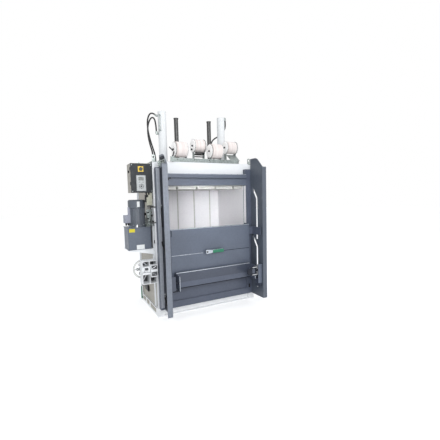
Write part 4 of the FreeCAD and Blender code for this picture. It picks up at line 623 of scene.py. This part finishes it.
def reel_fittings():
    """Brake knob of the second reel and black sleeves on the guide bars under it."""
    low, high = box_of("strap_reel_2")
    knob = (low.x - 0.0185, (low.y + high.y) / 2, (low.z + high.z) / 2 - 0.052)
    knob_steps = [(0.0, 0.007), (0.006, 0.007), (0.007, 0.013), (0.02, 0.013), (0.022, 0.01)]
    turned("brake_knob", [(knob, (-1, 0, 0), knob_steps)], BLACK)
    bar = Vector(((low.x + high.x) / 2, (low.y + high.y) / 2, low.z))
    sleeve_steps = [(0.0, 0.008), (0.001, 0.0095), (0.147, 0.0095), (0.148, 0.008)]
    sleeves = [(bar + Vector((-0.074, y, z)), (1, 0, 0), sleeve_steps)
               for y, z in ((-0.05, -0.018), (0.035, -0.03))]
    turned("strap_sleeves", sleeves, BLACK)


def rack_fittings():
    """Lever at the rack's left end with its plate, and the bolts along the rack's front."""
    front = box_of("strap_rack")[0].y
    upper = [(-0.538, front + 0.03, 2.247), (-0.52, front + 0.035, 2.232), (-0.484, front + 0.04, 2.202)]
    lower = [(-0.47, front + 0.052, 2.196), (-0.478, front + 0.05, 2.15), (-0.505, front + 0.045, 2.12),
             (-0.52, front + 0.04, 2.086)]
    pipes("end_lever", [upper, lower], 0.0075, BLACK)
    plates("lever_plate", [((-0.53, -0.474), span(front, 0.03, 0.034), (2.064, 2.128))],
           ("frame", "rack_zinc", "zinc"))
    bolt_steps = [(0.0, 0.0085), (0.0005, 0.0085), (0.0007, 0.0075)]
    bolts = [((x, front + 0.0002, 2.09), (0, -1, 0), bolt_steps) for x in (-0.44, -0.2, 0.02, 0.25, 0.49)]
    turned("rack_bolts", bolts, STEEL, 6)


# ---- cabinet

KEY_RING = 0.026
GLASS_EDGE = 0.026
BORDER = 0.0014


def display():
    """Glass of the control panel's display with four blank rows on it."""
    low, high = box_of("control_panel")
    face = low.y + 0.002
    height = high.z - low.z
    left, right = low.x + GLASS_EDGE, high.x - GLASS_EDGE
    rows = span(low.z, 0.66 * height, 0.88 * height)
    plates("display_glass", [((left, right), span(face, 0.0005, 0.0018), rows)],
           ("cabinet_lid", "display_glass", "panel_plastic"))
    lines = [((left + 0.006, right - 0.006), span(face, 0.0001, 0.0006),
              (rows[0] + 0.0075 + step * 0.0105, rows[0] + 0.0105 + step * 0.0105)) for step in range(4)]
    plates("display_rows", lines, ("cabinet_lid", "dark_steel", "black_plastic"), 0.0003)


def keypad():
    """Dark caps on the keys, two keys under the display and a border round the panel."""
    low, high = box_of("control_panel")
    face = low.y + 0.002
    height = high.z - low.z
    centre = Vector(((low.x + high.x) / 2, low.y, low.z + 0.3 * height))
    dome = [(0.0, 0.0062), (0.0009, 0.0062), (0.0015, 0.0052), (0.0017, 0.002)]
    caps = [(centre + KEY_RING * Vector((cos(angle), 0.0, sin(angle))), (0, -1, 0), dome)
            for angle in angles_round(8)]
    middle_dome = [(0.0, 0.012), (0.0012, 0.012), (0.002, 0.01)]
    caps.append((centre + Vector((0, 0.002, 0)), (0, -1, 0), middle_dome))
    turned("key_caps", caps, KEYS)
    small = [(span(x, -0.009, 0.009), (low.y + 0.0004, face), span(low.z, 0.545 * height, 0.585 * height))
             for x in (centre.x - 0.024, centre.x + 0.024)]
    plates("soft_keys", small, KEYS)
    thick = (face - 0.0006, face)
    border = [((low.x + 0.003, high.x - 0.003), thick, (z, z + BORDER))
              for z in (low.z + 0.003, high.z - 0.0044)]
    border += [((x, x + BORDER), thick, (low.z + 0.003, high.z - 0.003))
               for x in (low.x + 0.003, high.x - 0.0044)]
    plates("keypad_border", border, ("cabinet_lid", "cabinet_grey", "panel_plastic"), 0.0002)


def cabinet_fittings():
    """Side knob, rain lip, lid seal and screws of the cabinet, and the glands under it."""
    low, high = box_of("cabinet_body")
    door_low, door_high = box_of("cabinet_door")
    left = door_high.x - 0.272
    knob_steps = [(0.0, 0.011), (0.006, 0.011), (0.007, 0.016), (0.018, 0.017), (0.021, 0.013)]
    turned("side_knob", [((left, low.y + 0.05, high.z - 0.102), (-1, 0, 0), knob_steps)], BLACK)
    plates("rain_lip", [((left - 0.002, high.x), span(low.y, 0.001, 0.016), (high.z, high.z + 0.004))],
           ("frame", "cabinet_beige", "dark_grey_paint"))
    seal = [(span(left, -0.0006, 0.0015), (low.y, low.y + 0.003), (low.z + 0.004, high.z - 0.004))]
    plates("lid_seal", seal, BLACK, 0.0004)
    screw_steps = [(0.0, 0.006), (0.0016, 0.006), (0.0024, 0.004)]
    screws = [((x, door_low.y + 0.0002, z), (0, -1, 0), screw_steps)
              for x in (left + 0.016, door_high.x - 0.016) for z in (low.z + 0.018, high.z - 0.018)]
    turned("lid_screws", screws, ("cabinet_lid", "zinc", "zinc"), 12)
    gland = Vector((left + 0.222, low.y + 0.032, low.z))
    glands = [(gland + Vector((step * 0.03, -0.012, 0)), (0, 0, -1), hex_fitting(0.011, 0.03))
              for step in (-1, 0)]
    turned("cable_gland", glands, BLACK, 6)


def duct_cover():
    """Lid of the cable duct with its dark bracket."""
    duct_left, duct_right = LEFT - 0.078, LEFT - 0.006
    front = FRONT + 0.040
    top = box_of("cabinet_body")[0].z
    lid_height = (top - 0.164, top - 0.002)
    across = (duct_left - 0.0005, duct_right + 0.0005)
    lid = [(across, span(front, -0.0015, -0.0001), lid_height),
           (span(duct_left, -0.0016, -0.0001), span(front, -0.0015, 0.040), lid_height)]
    plates("duct_lid", lid, ("frame", "duct_beige", "zinc"))
    bracket = [((duct_left - 0.02, duct_left - 0.0017), (front, front + 0.03), (top - 0.125, top - 0.03)),
               (span(duct_left, -0.02, 0.018), (front - 0.008, front - 0.0016), (top - 0.06, top - 0.03))]
    plates("duct_bracket", bracket, BLACK, 0.002)


# ---- power pack

COWL_PLATE_STEPS = 9


def tank_plates():
    """Bare plates where the tank carries them."""
    low, high = box_of("oil_tank")
    face = span(low.y, -0.0008, -0.0001)
    plates("tank_plate_yellow", [(span(low.x, 0.012, 0.086), face, (high.z - 0.05, high.z - 0.006))],
           ("frame", "label_yellow", "yellow_plastic"), 0.0002)
    plates("tank_plate_white", [(span(low.x, 0.1, 0.203), face, (low.z + 0.006, low.z + 0.065))],
           ("frame", "label_white", "panel_plastic"), 0.0002)


def cowl_plate():
    """Bare plate bent round the fan cowl."""
    low, high = box_of("fan_cowl")
    centre = (low + high) / 2
    reach = (high.x - low.x) / 2 + 0.0002
    section = [(out, z) for z in (high.z - 0.094, high.z - 0.024) for out in (reach, reach + 0.0007)]
    work = bmesh.new()
    loops = []
    for step in range(COWL_PLATE_STEPS + 1):
        angle = radians(2 * step - COWL_PLATE_STEPS)
        across, back = sin(angle), cos(angle)
        places = [(centre.x + out * across, centre.y - out * back, z) for out, z in section]
        loops.append([work.verts.new(places[index]) for index in (0, 1, 3, 2)])
    skin(work, loops)
    shaped("cowl_plate", work, ("frame", "label_white", "panel_plastic"))


def motor_fittings():
    """Bolts of the motor's foot and screws of its cowl."""
    low, high = box_of("motor_body")
    centre = (low + high) / 2
    bolt_steps = [(0.0, 0.009), (0.007, 0.009), (0.008, 0.0075)]
    bolts = [((centre.x + 0.096 * cos(angle), centre.y + 0.096 * sin(angle), low.z + 0.024),
              (0, 0, 1), bolt_steps) for angle in angles_round(4, 45)]
    turned("motor_bolts", bolts, ZINC, 6)
    low, high = box_of("fan_cowl")
    reach = (high.x - low.x) / 2
    middle = Vector(((low.x + high.x) / 2, (low.y + high.y) / 2, low.z + 0.012))
    screw_steps = [(0.0, 0.005), (0.002, 0.005), (0.003, 0.003)]
    outward = [Vector((cos(angle), sin(angle), 0.0)) for angle in angles_round(6, 20)]
    screws = [(middle + reach * out - 0.0004 * out, out, screw_steps) for out in outward]
    turned("cowl_screws", screws, ZINC, 10)


def terminal_fittings():
    """Lid of the terminal box, the block with its plate above it, and two glands under it."""
    low, high = box_of("terminal_box")
    lid_low = low.z + 0.019
    lid_height = (lid_low + 0.004, high.z - 0.004)
    lid = [((low.x + 0.0005, high.x - 0.01), span(low.y, -0.003, -0.0001), lid_height),
           (span(low.x, 0.05, 0.118), span(low.y, 0.012, 0.042), span(high.z, -0.02, 0.103)),
           (span(low.x, 0.046, 0.122), span(low.y, 0.008, 0.0119), span(high.z, -0.012, 0.095))]
    plates("terminal_lid", lid, ("frame", "terminal_lilac", "motor_paint"), 0.003)
    glands = [((low.x + x, low.y + 0.022, lid_low), (0, 0, -1), hex_fitting(0.011, 0.034))
              for x in (0.02, 0.048)]
    turned("terminal_glands", glands, BLACK, 6)


def valve_fittings():
    """Ports, connectors, coil caps and short pipes of the valve block."""
    low, high = box_of("valve_block")
    middle = (low.x + high.x) / 2
    ports = []
    for step, z in enumerate((0.03, 0.062, 0.094)):
        shift = 0.02 * (step % 2)
        ports += [((low.x + 0.016 + shift, low.y, low.z + z), (0, -1, 0), hex_fitting(0.009, 0.026)),
                  ((high.x, low.y + 0.02 + shift, low.z + z), (1, 0, 0), hex_fitting(0.008, 0.018)),
                  ((low.x, low.y + 0.012, low.z + z + 0.01), (-1, 0, 0), hex_fitting(0.008, 0.016))]
    turned("valve_ports", ports, ZINC, 6, 0.0004)
    connectors = [(span(middle, -0.014, 0.014), span(low.y, -0.012, 0.003), span(high.z, -0.078, -0.04)),
                  (span(low.x, -0.01, 0.008), span(high.y, -0.034, -0.008), span(high.z, -0.062, -0.028)),
                  (span(high.x, -0.006, 0.014), span(low.y, 0.008, 0.03), span(high.z, -0.118, -0.086))]
    plates("coil_connectors", connectors, BLACK, 0.002)
    cap_steps = [(0.0, 0.0105), (0.005, 0.0105), (0.007, 0.008)]
    caps = [((middle, low.y + share * (high.y - low.y), high.z - 0.004), (0, 0, 1), cap_steps)
            for share in (0.25, 0.75)]
    turned("coil_caps", caps, BLACK, 16)
    bends = (((0.016, 0.03), [(-0.004, -0.03, 0.0), (-0.02, -0.034, 0.05), (-0.022, -0.014, 0.13),
                              (-0.01, 0.012, 0.18)]),
             ((0.036, 0.062), [(0.002, -0.03, 0.004), (0.022, -0.036, 0.07), (0.03, -0.01, 0.15),
                               (0.022, 0.014, 0.2)]))
    routes = []
    for (x, z), steps in bends:
        port = Vector((low.x + x, low.y - 0.026, low.z + z))
        routes.append([port] + [port + Vector(step) for step in steps])
    pipes("valve_pipes", routes, 0.0055, STEEL)


def manifold_fittings():
    """Angled bracket in front of the valve block with its check valves and black plugs."""
    low, high = box_of("valve_block")
    middle = (low.x + high.x) / 2
    across = (middle - 0.03, high.x + 0.02)
    bracket = [(across, span(low.y, -0.042, -0.039), span(low.z, 0.02, 0.23)),
               (across, span(low.y, -0.039, -0.002), span(low.z, 0.02, 0.024))]
    plates("manifold_bracket", bracket, ("frame", "rack_zinc", "zinc"), 0.001)
    checks = []
    for row, z in enumerate((0.05, 0.088, 0.128, 0.17, 0.206)):
        odd = row % 2
        fitting = hex_fitting(0.0115 - 0.0015 * (row % 3), 0.024 + 0.006 * odd)
        for column in range(2):
            start = (middle - 0.012 + 0.032 * column + 0.006 * odd, low.y - 0.042, low.z + z)
            checks.append((start, (0.25 * column, -1, 0.12 * odd), fitting))
    turned("check_valves", checks, ZINC, 6, 0.0006)
    plugs = [(span(middle, -0.026, -0.006), span(low.y, -0.062, -0.042), span(low.z, 0.1, 0.12)),
             (span(middle, 0.024, 0.046), span(low.y, -0.066, -0.042), span(low.z, 0.138, 0.162)),
             ((middle - 0.022, middle), span(low.y, -0.06, -0.042), span(low.z, 0.182, 0.2))]
    plates("valve_plugs", plugs, BLACK, 0.003)


def return_filter():
    """Bright head of the return filter on the tank's lid."""
    low, high = box_of("tank_lid")
    steps = [(0.0, 0.03), (0.004, 0.03), (0.006, 0.024), (0.018, 0.022), (0.022, 0.014), (0.034, 0.013),
             (0.036, 0.01)]
    foot = (low.x + 0.13, low.y + 0.032, high.z - 0.019)
    turned("return_filter", [(foot, (0, 0, 1), steps)], BRIGHT, 28)


# ---- doors

# Outer face of the left guide wing, fold of the feed panel, and half widths between the plates of
# the roller arms and between the end plates of the box beam.
WING_FACE = -0.6935
FOLD_HEIGHT = 0.832
ARM_PLATE = 0.668
END_PLATE = 0.569


def latch_handle():
    """Flat arm widening to its boss and a thick moulded grip, in place of the plain lever."""
    low, high = box_of("feed_handle")
    base_low, base_high = box_of("handle_base")
    pivot = (base_low.x + base_high.x) / 2
    height = (base_low.z + base_high.z) / 2
    depth = low.y + 0.0175
    end = high.x
    moulded = [(pivot + 0.082, depth, height, 0.011, 0.014),
               (pivot + 0.088, depth, height, 0.0145, 0.021),
               (pivot + 0.108, depth, height, 0.0165, 0.0245),
               (pivot + 0.15, depth, height + 0.002, 0.015, 0.0225),
               (pivot + 0.2, depth, height + 0.001, 0.0165, 0.0245),
               (end - 0.018, depth, height, 0.0165, 0.0255),
               (end - 0.008, depth, height, 0.0145, 0.021),
               (end - 0.004, depth, height, 0.009, 0.013)]
    grip = lofted("handle_grip", moulded, ("feed_handle", "green_paint", "green_paint"))
    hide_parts("feed_handle")
    arm = [(pivot - 0.018, depth, height, 0.0055, 0.017), (pivot - 0.012, depth, height, 0.007, 0.024),
           (pivot, depth, height, 0.0075, 0.029), (pivot + 0.03, depth, height, 0.0075, 0.026),
           (pivot + 0.086, depth, height, 0.0075, 0.019)]
    lofted("handle_arm", arm, HANDLE_SILVER_AND_HIGHLIGHT)
    boss = [((pivot, base_low.y, height), (0, -1, 0), [(0.0005, 0.013), (0.018, 0.013), (0.0185, 0.012)]),
            ((pivot, depth - 0.0074, height), (0, -1, 0), [(0.0, 0.012), (0.005, 0.012), (0.007, 0.009)])]
    turned("handle_boss", boss, ("feed_handle", "dark_steel", "dark_steel"))
    # Pale bead along the grip's top: a painted highlight.
    highlight_front = depth - 0.006
    grip_highlight = [(pivot + 0.088, highlight_front, height + 0.0215), (pivot + 0.15, highlight_front, height + 0.021),
           (end - 0.024, highlight_front, height + 0.0225)]
    pipes("handle_grip_highlight", [grip_highlight], 0.0042, HANDLE_SILVER_AND_HIGHLIGHT)


def level_bead(name, left, right, y, z, radius, coat):
    """Bead along X from left to right."""
    beads(name, [((left, y, z), (right, y, z))], radius, coat)


def panel_edges():
    """Pale beads along the feed panel's top edge and the left part of its fold, as painted highlights,
    and dark beads along the fold's right part and at the panel's side, as painted shade.
    """
    low, high = box_of("feed_panel")
    fold = low.y + 0.0005
    left, right = low.x + 0.004, high.x - 0.004
    # Pale beads paint highlights; dark beads paint shade.
    level_bead("panel_top_highlight", left, right, low.y + 0.0075, high.z - 0.004, 0.0045, FEED_HIGHLIGHT)
    level_bead("panel_fold_highlight", left, -0.15, fold, FOLD_HEIGHT, 0.0035, FEED_HIGHLIGHT)
    level_bead("panel_fold_shade", -0.05, right, fold, FOLD_HEIGHT, 0.0035, FEED_SHADE)
    side = low.x + 0.012
    beads("panel_side_shade", [((side, fold, 1.085), (side, fold, 1.165))], 0.0035, FEED_SHADE)


def beam_edges():
    """Pale beads along the box beam's upper edge and on its end plates as painted highlights, a dark bead
    under it and a darker sheet over its lower part as painted shade, and its arms' fronts.
    """
    low, high = box_of("feed_box_beam")
    # Pale beads paint highlights; the dark bead and the lower sheet paint shade.
    level_bead("beam_top_highlight", low.x, high.x, low.y + 0.002, high.z - 0.002, 0.0055, FEED_HIGHLIGHT)
    level_bead("beam_low_shade", low.x, high.x, low.y + 0.003, low.z + 0.001, 0.0075, FEED_SHADE)
    front = box_of("roller_brackets")[0].y
    arm_fronts(front)
    shade = ((low.x + 0.002, high.x - 0.002), span(low.y, -0.0012, -0.0001), span(low.z, 0.006, 0.075))
    plates("beam_shade", [shade], ("feed_door", "door_grey", "dark_grey_paint"))
    ends = [((x, front, low.z + 0.004), (x, front, high.z - 0.012)) for x in (-END_PLATE, END_PLATE)]
    beads("end_plate_highlight", ends, 0.0045, FEED_HIGHLIGHT)


def arm_fronts(plate_front):
    """Spacer sleeves between arm and beam, front folds of the two roller arms, the left one in a darker
    grey as painted shade, and their skirts.
    """
    sleeve_steps = [(0.0, 0.0122), (0.002, 0.0132), (0.086, 0.0132), (0.088, 0.0122)]
    spacers = [((side * 0.5735, plate_front + 0.043, height), (side, 0, 0), sleeve_steps)
               for side in (-1, 1) for height in (0.412, 0.52)]
    turned("spacer_sleeves", spacers, FEED_DARK)
    front = span(plate_front, -0.005, -0.0005)
    # The left front in the darker grey of the box beam: painted shade.
    plates("arm_front_left_shaded", [((-0.683, -0.625), front, (0.43, 0.612))],
           ("feed_door", "beam_grey", "dark_grey_paint"), 0.0015)
    plates("arm_front_right", [((0.618, 0.683), front, (0.336, 0.612))],
           ("feed_door", "front_grey", "grey_paint"), 0.0015)
    skirts = [(span(side * ARM_PLATE, -0.004, 0.004), span(plate_front, 0.001, 0.14), (0.265, 0.3125))
              for side in (-1, 1)]
    plates("arm_skirts", skirts, ("feed_door", "beam_grey", "grey_paint"), 0.001)


def bale_door_edges():
    """Pale bead along the cross beam's top edge as a painted highlight, a pale strip on the left stile's
    front as painted light, and a white liner on the right stile's inner face as painted light.
    """
    low, high = box_of("door_cross_beam")
    # Pale bead: a painted highlight.
    level_bead("cross_beam_highlight", low.x + 0.003, high.x - 0.003, low.y + 0.003, high.z - 0.0035, 0.0045,
               ("bale_door", "highlight_and_silver_grey", "light_grey_paint"))
    low, high = box_of("door_frame")
    # Pale strip on the left stile's front: painted light.
    strip = ((low.x + 0.002, -0.6965), span(low.y, -0.0022, -0.0001), (low.z + 0.03, high.z - 0.01))
    plates("stile_lit_strip", [strip], ("bale_door", "stile_lit_grey", "light_grey_paint"), 0.0008)
    # White liner on the right stile's inner face: painted light.
    plates("stile_lit_liner", [((0.5985, 0.5999), span(low.y, 0.004, 0.06), (1.19, 1.744))],
           ("bale_door", "chamber_lit_white", "white_paint"), 0.0004)


def beam_catch():
    """Dark catch at the box beam's right end, with its boss, guide and two bright pins."""
    front = box_of("roller_brackets")[0].y - 0.0005
    outline = [(0.476, 0.47), (0.53, 0.455), (0.573, 0.455), (0.573, 0.6), (0.53, 0.6), (0.476, 0.562)]
    work = bmesh.new()
    skin(work, [[work.verts.new((x, y, z)) for x, z in outline] for y in (front - 0.006, front)])
    shaped("catch_plate", work, FEED_DARK, 0.0015)
    boss_steps = [(0.0, 0.012), (0.0, 0.03), (0.004, 0.042), (0.014, 0.046)]
    turned("catch_boss", [((0.478, front - 0.014, 0.516), (0, 1, 0), boss_steps)], FEED_DARK)
    plates("catch_guide", [((0.512, 0.552), span(front, -0.015, -0.0065), (0.496, 0.56))],
           ("feed_door", "beam_grey", "dark_grey_paint"), 0.002)
    pin_steps = [(0.0, 0.005), (0.003, 0.0075), (0.068, 0.0075), (0.071, 0.005)]
    pins = [((0.514, front - 0.014, z), (1, 0, 0), pin_steps) for z in (0.476, 0.581)]
    turned("catch_pins", pins, ("feed_door", "bright_steel", "bright_steel"))


def stile_catches():
    """Catches, rod and bolts between the left stile and its wing, and a dark sheet of painted shade on
    the wing's outer face.
    """
    face = box_of("door_frame")[0].y
    line = WING_FACE - 0.009
    hooks = [[(WING_FACE - 0.008, face - 0.012, 1.03), (WING_FACE - 0.012, face - 0.03, 0.99),
              (line, face - 0.075, 0.95), (line, face - 0.13, 0.905), (line, face - 0.12, 0.87)],
             [(line, face - 0.1, 0.33), (line, face - 0.03, 0.3), (line, face - 0.07, 0.26),
              (line, face - 0.11, 0.2)]]
    rod = [(line, face - 0.03, 1.47), (line, face - 0.03, 1.3), (line, face - 0.045, 1.22)]
    pipes("stile_catches", hooks, 0.009, DOOR_BLACK)
    pipes("stile_rod", [rod], 0.006, DOOR_BLACK)
    bolts = [((WING_FACE - 0.0005, face - 0.045, z), (-1, 0, 0), hex_fitting(0.013, 0.014))
             for z in (0.34, 0.96, 1.5)]
    turned("stile_bolts", bolts, ("bale_door", "bright_steel", "bright_steel"), 6)
    # Dark sheet on the wing's outer face: painted shade.
    plates("wing_shade", [(span(WING_FACE, -0.0012, -0.0002), (-0.648, face - 0.006), (0.13, 1.97))],
           ("bale_door", "shadow_grey", "dark_grey_paint"), 0.0003)


def wing_catch():
    """Catch at the top of the left wing with its block, plate, bolts and guard."""
    plates("wing_catch_block", [(span(WING_FACE, -0.02, -0.0002), (-0.75, -0.615), (2.062, 2.098))],
           ("bale_door", "shadow_grey", "dark_steel"), 0.004)
    plates("wing_catch_plate", [(span(WING_FACE, -0.006, -0.0002), (-0.77, -0.565), (2.016, 2.058)),
                                (span(WING_FACE, -0.03, -0.0002), (-0.6, -0.565), (1.985, 2.056))],
           ("bale_door", "zinc", "zinc"), 0.002)
    bolts = [((WING_FACE - 0.005, y, 2.037), (-1, 0, 0), hex_fitting(0.011, 0.011))
             for y in (-0.735, -0.655)]
    turned("wing_catch_bolts", bolts, ("bale_door", "dark_steel", "dark_steel"), 6)
    plates("wing_guard", [(span(WING_FACE, -0.004, -0.0002), (-0.82, -0.7), (1.955, 1.99))],
           DOOR_BLACK, 0.002)


def door_stops():
    """Latch at the cross beam's left end and the small stop at the right."""
    low, high = box_of("door_cross_beam")
    latch = [(span(low.x, 0.004, 0.05), span(low.y, 0.006, 0.018), span(high.z, -0.068, -0.05)),
             (span(low.x, 0.004, 0.02), span(low.y, 0.002, 0.018), span(high.z, -0.09, -0.05))]
    plates("beam_latch", latch, DOOR_BLACK, 0.002)
    face = box_of("door_frame")[0].y
    stop = ((0.625, 0.645), span(face, -0.008, -0.0001), (0.21, 0.265))
    plates("right_stop", [stop], DOOR_BLACK, 0.002)


# ---- handwheel and lock


def wheel_fittings():
    """Moulded rim over the handwheel's ring, six collars around its hub and a flange on it."""
    low, high = box_of("handwheel")
    centre = (low + high) / 2
    reach = (high.x - low.x) / 2 - 0.0125
    section = [(0.0135 * cos(radians(angle)), 0.0125 * sin(radians(angle)))
               for angle in range(0, 360, 30)]
    rings("wheel_grip", [(centre, (0, 1, 0), [(along, reach + out) for along, out in section])],
          ("handwheel", "web_grey", "zinc"), 96)
    collar_steps = [(0.0, 0.011), (0.0, 0.019), (0.008, 0.019), (0.008, 0.011)]
    hub = [0.066 * Vector((cos(angle), 0.0, sin(angle))) for angle in angles_round(6)]
    collars = [(centre + out + Vector((0, -0.004, 0)), (0, 1, 0), collar_steps) for out in hub]
    rings("wheel_collars", collars, ("handwheel", "dark_steel", "dark_steel"), 32)
    flange_steps = [(0.0, 0.027), (0.0, 0.0485), (0.006, 0.0485), (0.006, 0.027)]
    rings("wheel_flange", [(centre + Vector((0, -0.003, 0)), (0, 1, 0), flange_steps)],
          ("handwheel", "wheel_zinc", "zinc"), 48)


def lock_fittings():
    """Dark lining, cam levers, nuts, cover window and spring windows of the lock."""
    low, high = box_of("lock_housing")
    shaft_low, shaft_high = box_of("lock_shaft")
    middle = (shaft_low.x + shaft_high.x) / 2
    height = (shaft_low.z + shaft_high.z) / 2
    back = high.y
    sheet = 0.008
    divider = middle + 0.053
    left_half = (low.x + sheet, divider)
    lining = [(left_half, (back - 0.001, back), (low.z + sheet, height - 0.027)),
              ((divider + sheet, LEFT - sheet), (back - 0.0012, back), (low.z + sheet, high.z - sheet)),
              (left_half, (back - 0.001, back), (height + 0.054, high.z - sheet))]
    plates("lock_lining", lining, LINING_AND_SHADE, 0.0)
    upper, lower = back - 0.07, back - 0.06
    levers = [[(low.x + 0.02, upper, high.z - 0.016), (middle + 0.03, upper, height + 0.09 - 0.022)],
              [(low.x + 0.022, lower, low.z + 0.04), (middle + 0.036, lower, height - 0.05)]]
    pipes("cam_levers", levers, 0.008, BRIGHT)
    nut_steps = [(0.0, 0.011), (0.008, 0.011), (0.0095, 0.009)]
    nuts = [((x, FRONT - 0.02, z), (0, -1, 0), nut_steps)
            for x, z in ((divider + 0.043, height + 0.033), (divider + 0.038, height - 0.1))]
    turned("lock_nuts", nuts, BLACK, 6)
    window = (span(low.x, 0.034, 0.079), span(FRONT, -0.0209, -0.0201), span(height, 0.008, 0.04))
    plates("cover_window", [window], LINING_AND_SHADE, 0.0002)
    front = low.y - 0.0009
    across = (divider + 0.0135, LEFT - 0.01)
    windows = [(across, (front, front + 0.0008), span(height, start, end))
               for start, end in ((0.022, 0.072), (-0.066, -0.012))]
    plates("guide_windows", windows, LINING_AND_SHADE, 0.0002)
    spring_front = front - 0.0002
    springs = [[(divider + 0.02, spring_front, height + start), (LEFT - 0.02, spring_front, height + end)]
               for start, end in ((0.03, 0.064), (-0.02, -0.056))]
    pipes("guide_springs", springs, 0.0045, BRIGHT)


def ejector_fittings():
    """Bracket and linkage of the ejector lever on the frame's left side."""
    plates("ejector_bracket", [(span(LEFT, -0.012, -0.0005), (-0.035, 0.15), (0.236, 0.326)),
                               (span(LEFT, -0.018, -0.012), (-0.02, 0.06), (0.25, 0.31))], BLACK, 0.003)
    line = LEFT - 0.008
    pipes("ejector_linkage", [[(line, 0.145, 0.262), (line, 0.26, 0.255), (line, 0.355, 0.235)]],
          0.006, STEEL)


# ---- frame


def strap_channels():
    """Channels behind the four strap slots of the rear wall."""
    wall = box_of("rear_wall")[0].y
    plates("strap_channels", [(span(place, -0.026, 0.026), span(wall, 0.0235, 0.025), (0.17, 1.75))
                              for place in (-0.435, -0.145, 0.145, 0.435)],
           ("frame", "web_grey", "light_grey_paint"), 0.0003)


def base_details():
    """Dark beads along the top of the base's sides and grey sheets on them, as painted shade."""
    low, high = box_of("frame_posts")
    side, top = low.x, low.z
    line = top - 0.003
    # Dark beads along the base's top edges: painted shade.
    shade_lines = [((x, low.y + 0.06, line), (x, high.y - 0.02, line)) for x in (side - 0.0005, -side)]
    beads("base_shade_lines", shade_lines, 0.0035, LINING_AND_SHADE)
    # Grey sheets on the base's sides: painted shade.
    side_shades = [((reach, reach + 0.0008), run, (0.03, 0.088)) for reach in (side - 0.0011, -side + 0.0003)
            for run in ((-0.36, -0.08), (-0.02, 0.12), (0.18, 0.42))]
    plates("base_side_shade", side_shades, ("frame", "shade_and_pipe_grey", "white_paint"), 0.0003)


def post_details():
    """Two hooks with nuts across the left front post and the line down its side."""
    low = box_of("frame_posts")[0]
    side = low.x
    face = low.y - 0.0135
    hooks = [[(side - 0.04, face + 0.125, z), (side - 0.038, face + 0.03, z), (side - 0.026, face, z),
              (side + 0.012, face - 0.001, z)] for z in (1.274, 1.474)]
    pipes("post_hooks", hooks, 0.0062, STEEL)
    nuts = [(Vector(hook[-1]) + Vector((-0.006, 0, 0)), (1, 0, 0), hex_fitting(0.0095, 0.009))
            for hook in hooks]
    turned("hook_nuts", nuts, BLACK, 6)
    line = side - 0.003
    beads("post_line", [((line, low.y + 0.03, 0.14), (line, low.y + 0.03, 0.47)),
                        ((line, low.y + 0.034, 1.68), (line, low.y + 0.034, 2.0))],
          0.0045, ("frame", "shade_and_pipe_grey", "zinc"))


# ---- hoses

HOSE_RADIUS = 0.011
# Height of the head's top in millimetres.
HEAD_TOP = 2064
# Each hose's length in metres and its route in millimetres, with y from the frame's front and z from
# the head's top, as in the CAD source.
HOSES = {
    "hose_left_outer": (0.971, [
        (-550, 484, 711), (-577, 610, 788), (-602, 738, 712), (-600, 742, 561),
        (-578, 722, 414), (-545, 700, 281), (-514, 678, 151), (-514, 678, 30)]),
    "hose_left_inner": (1.034, [
        (-566, 412, 466), (-570, 414, 626), (-588, 548, 702), (-612, 676, 626),
        (-618, 684, 476), (-598, 664, 326), (-562, 634, 176), (-562, 634, 30)]),
    "hose_right": (0.854, [
        (556, 424, 718), (563, 430, 671), (570, 452, 601), (540, 530, 506),
        (455, 590, 471), (370, 560, 396), (345, 495, 301), (350, 458, 191),
        (358, 444, 86), (358, 444, 30)]),
}


def hoses():
    for name, (length, route) in HOSES.items():
        places = [(x / 1000, y / 1000 + FRONT, (z + HEAD_TOP) / 1000) for x, y, z in route]
        line = round_curve(name + "_line", [places], HOSE_RADIUS, 4, 10)
        piece = placed(name + "_line", line)
        piece.data.materials.append(FINISHES["black_rubber"])
        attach(piece, "frame")
        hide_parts(name)


# ---- main

photo_camera()
hoses()
dress_nodes()
for reel in REELS:
    strap_roll(reel)
reel_discs()
reel_fittings()
rack_fittings()
display()
keypad()
cabinet_fittings()
duct_cover()
tank_plates()
cowl_plate()
motor_fittings()
terminal_fittings()
valve_fittings()
manifold_fittings()
return_filter()
latch_handle()
panel_edges()
beam_edges()
bale_door_edges()
beam_catch()
stile_catches()
wing_catch()
door_stops()
wheel_fittings()
lock_fittings()
ejector_fittings()
strap_channels()
base_details()
post_details()
studio()
floor()

bpy.context.scene.view_settings.view_transform = "Standard"
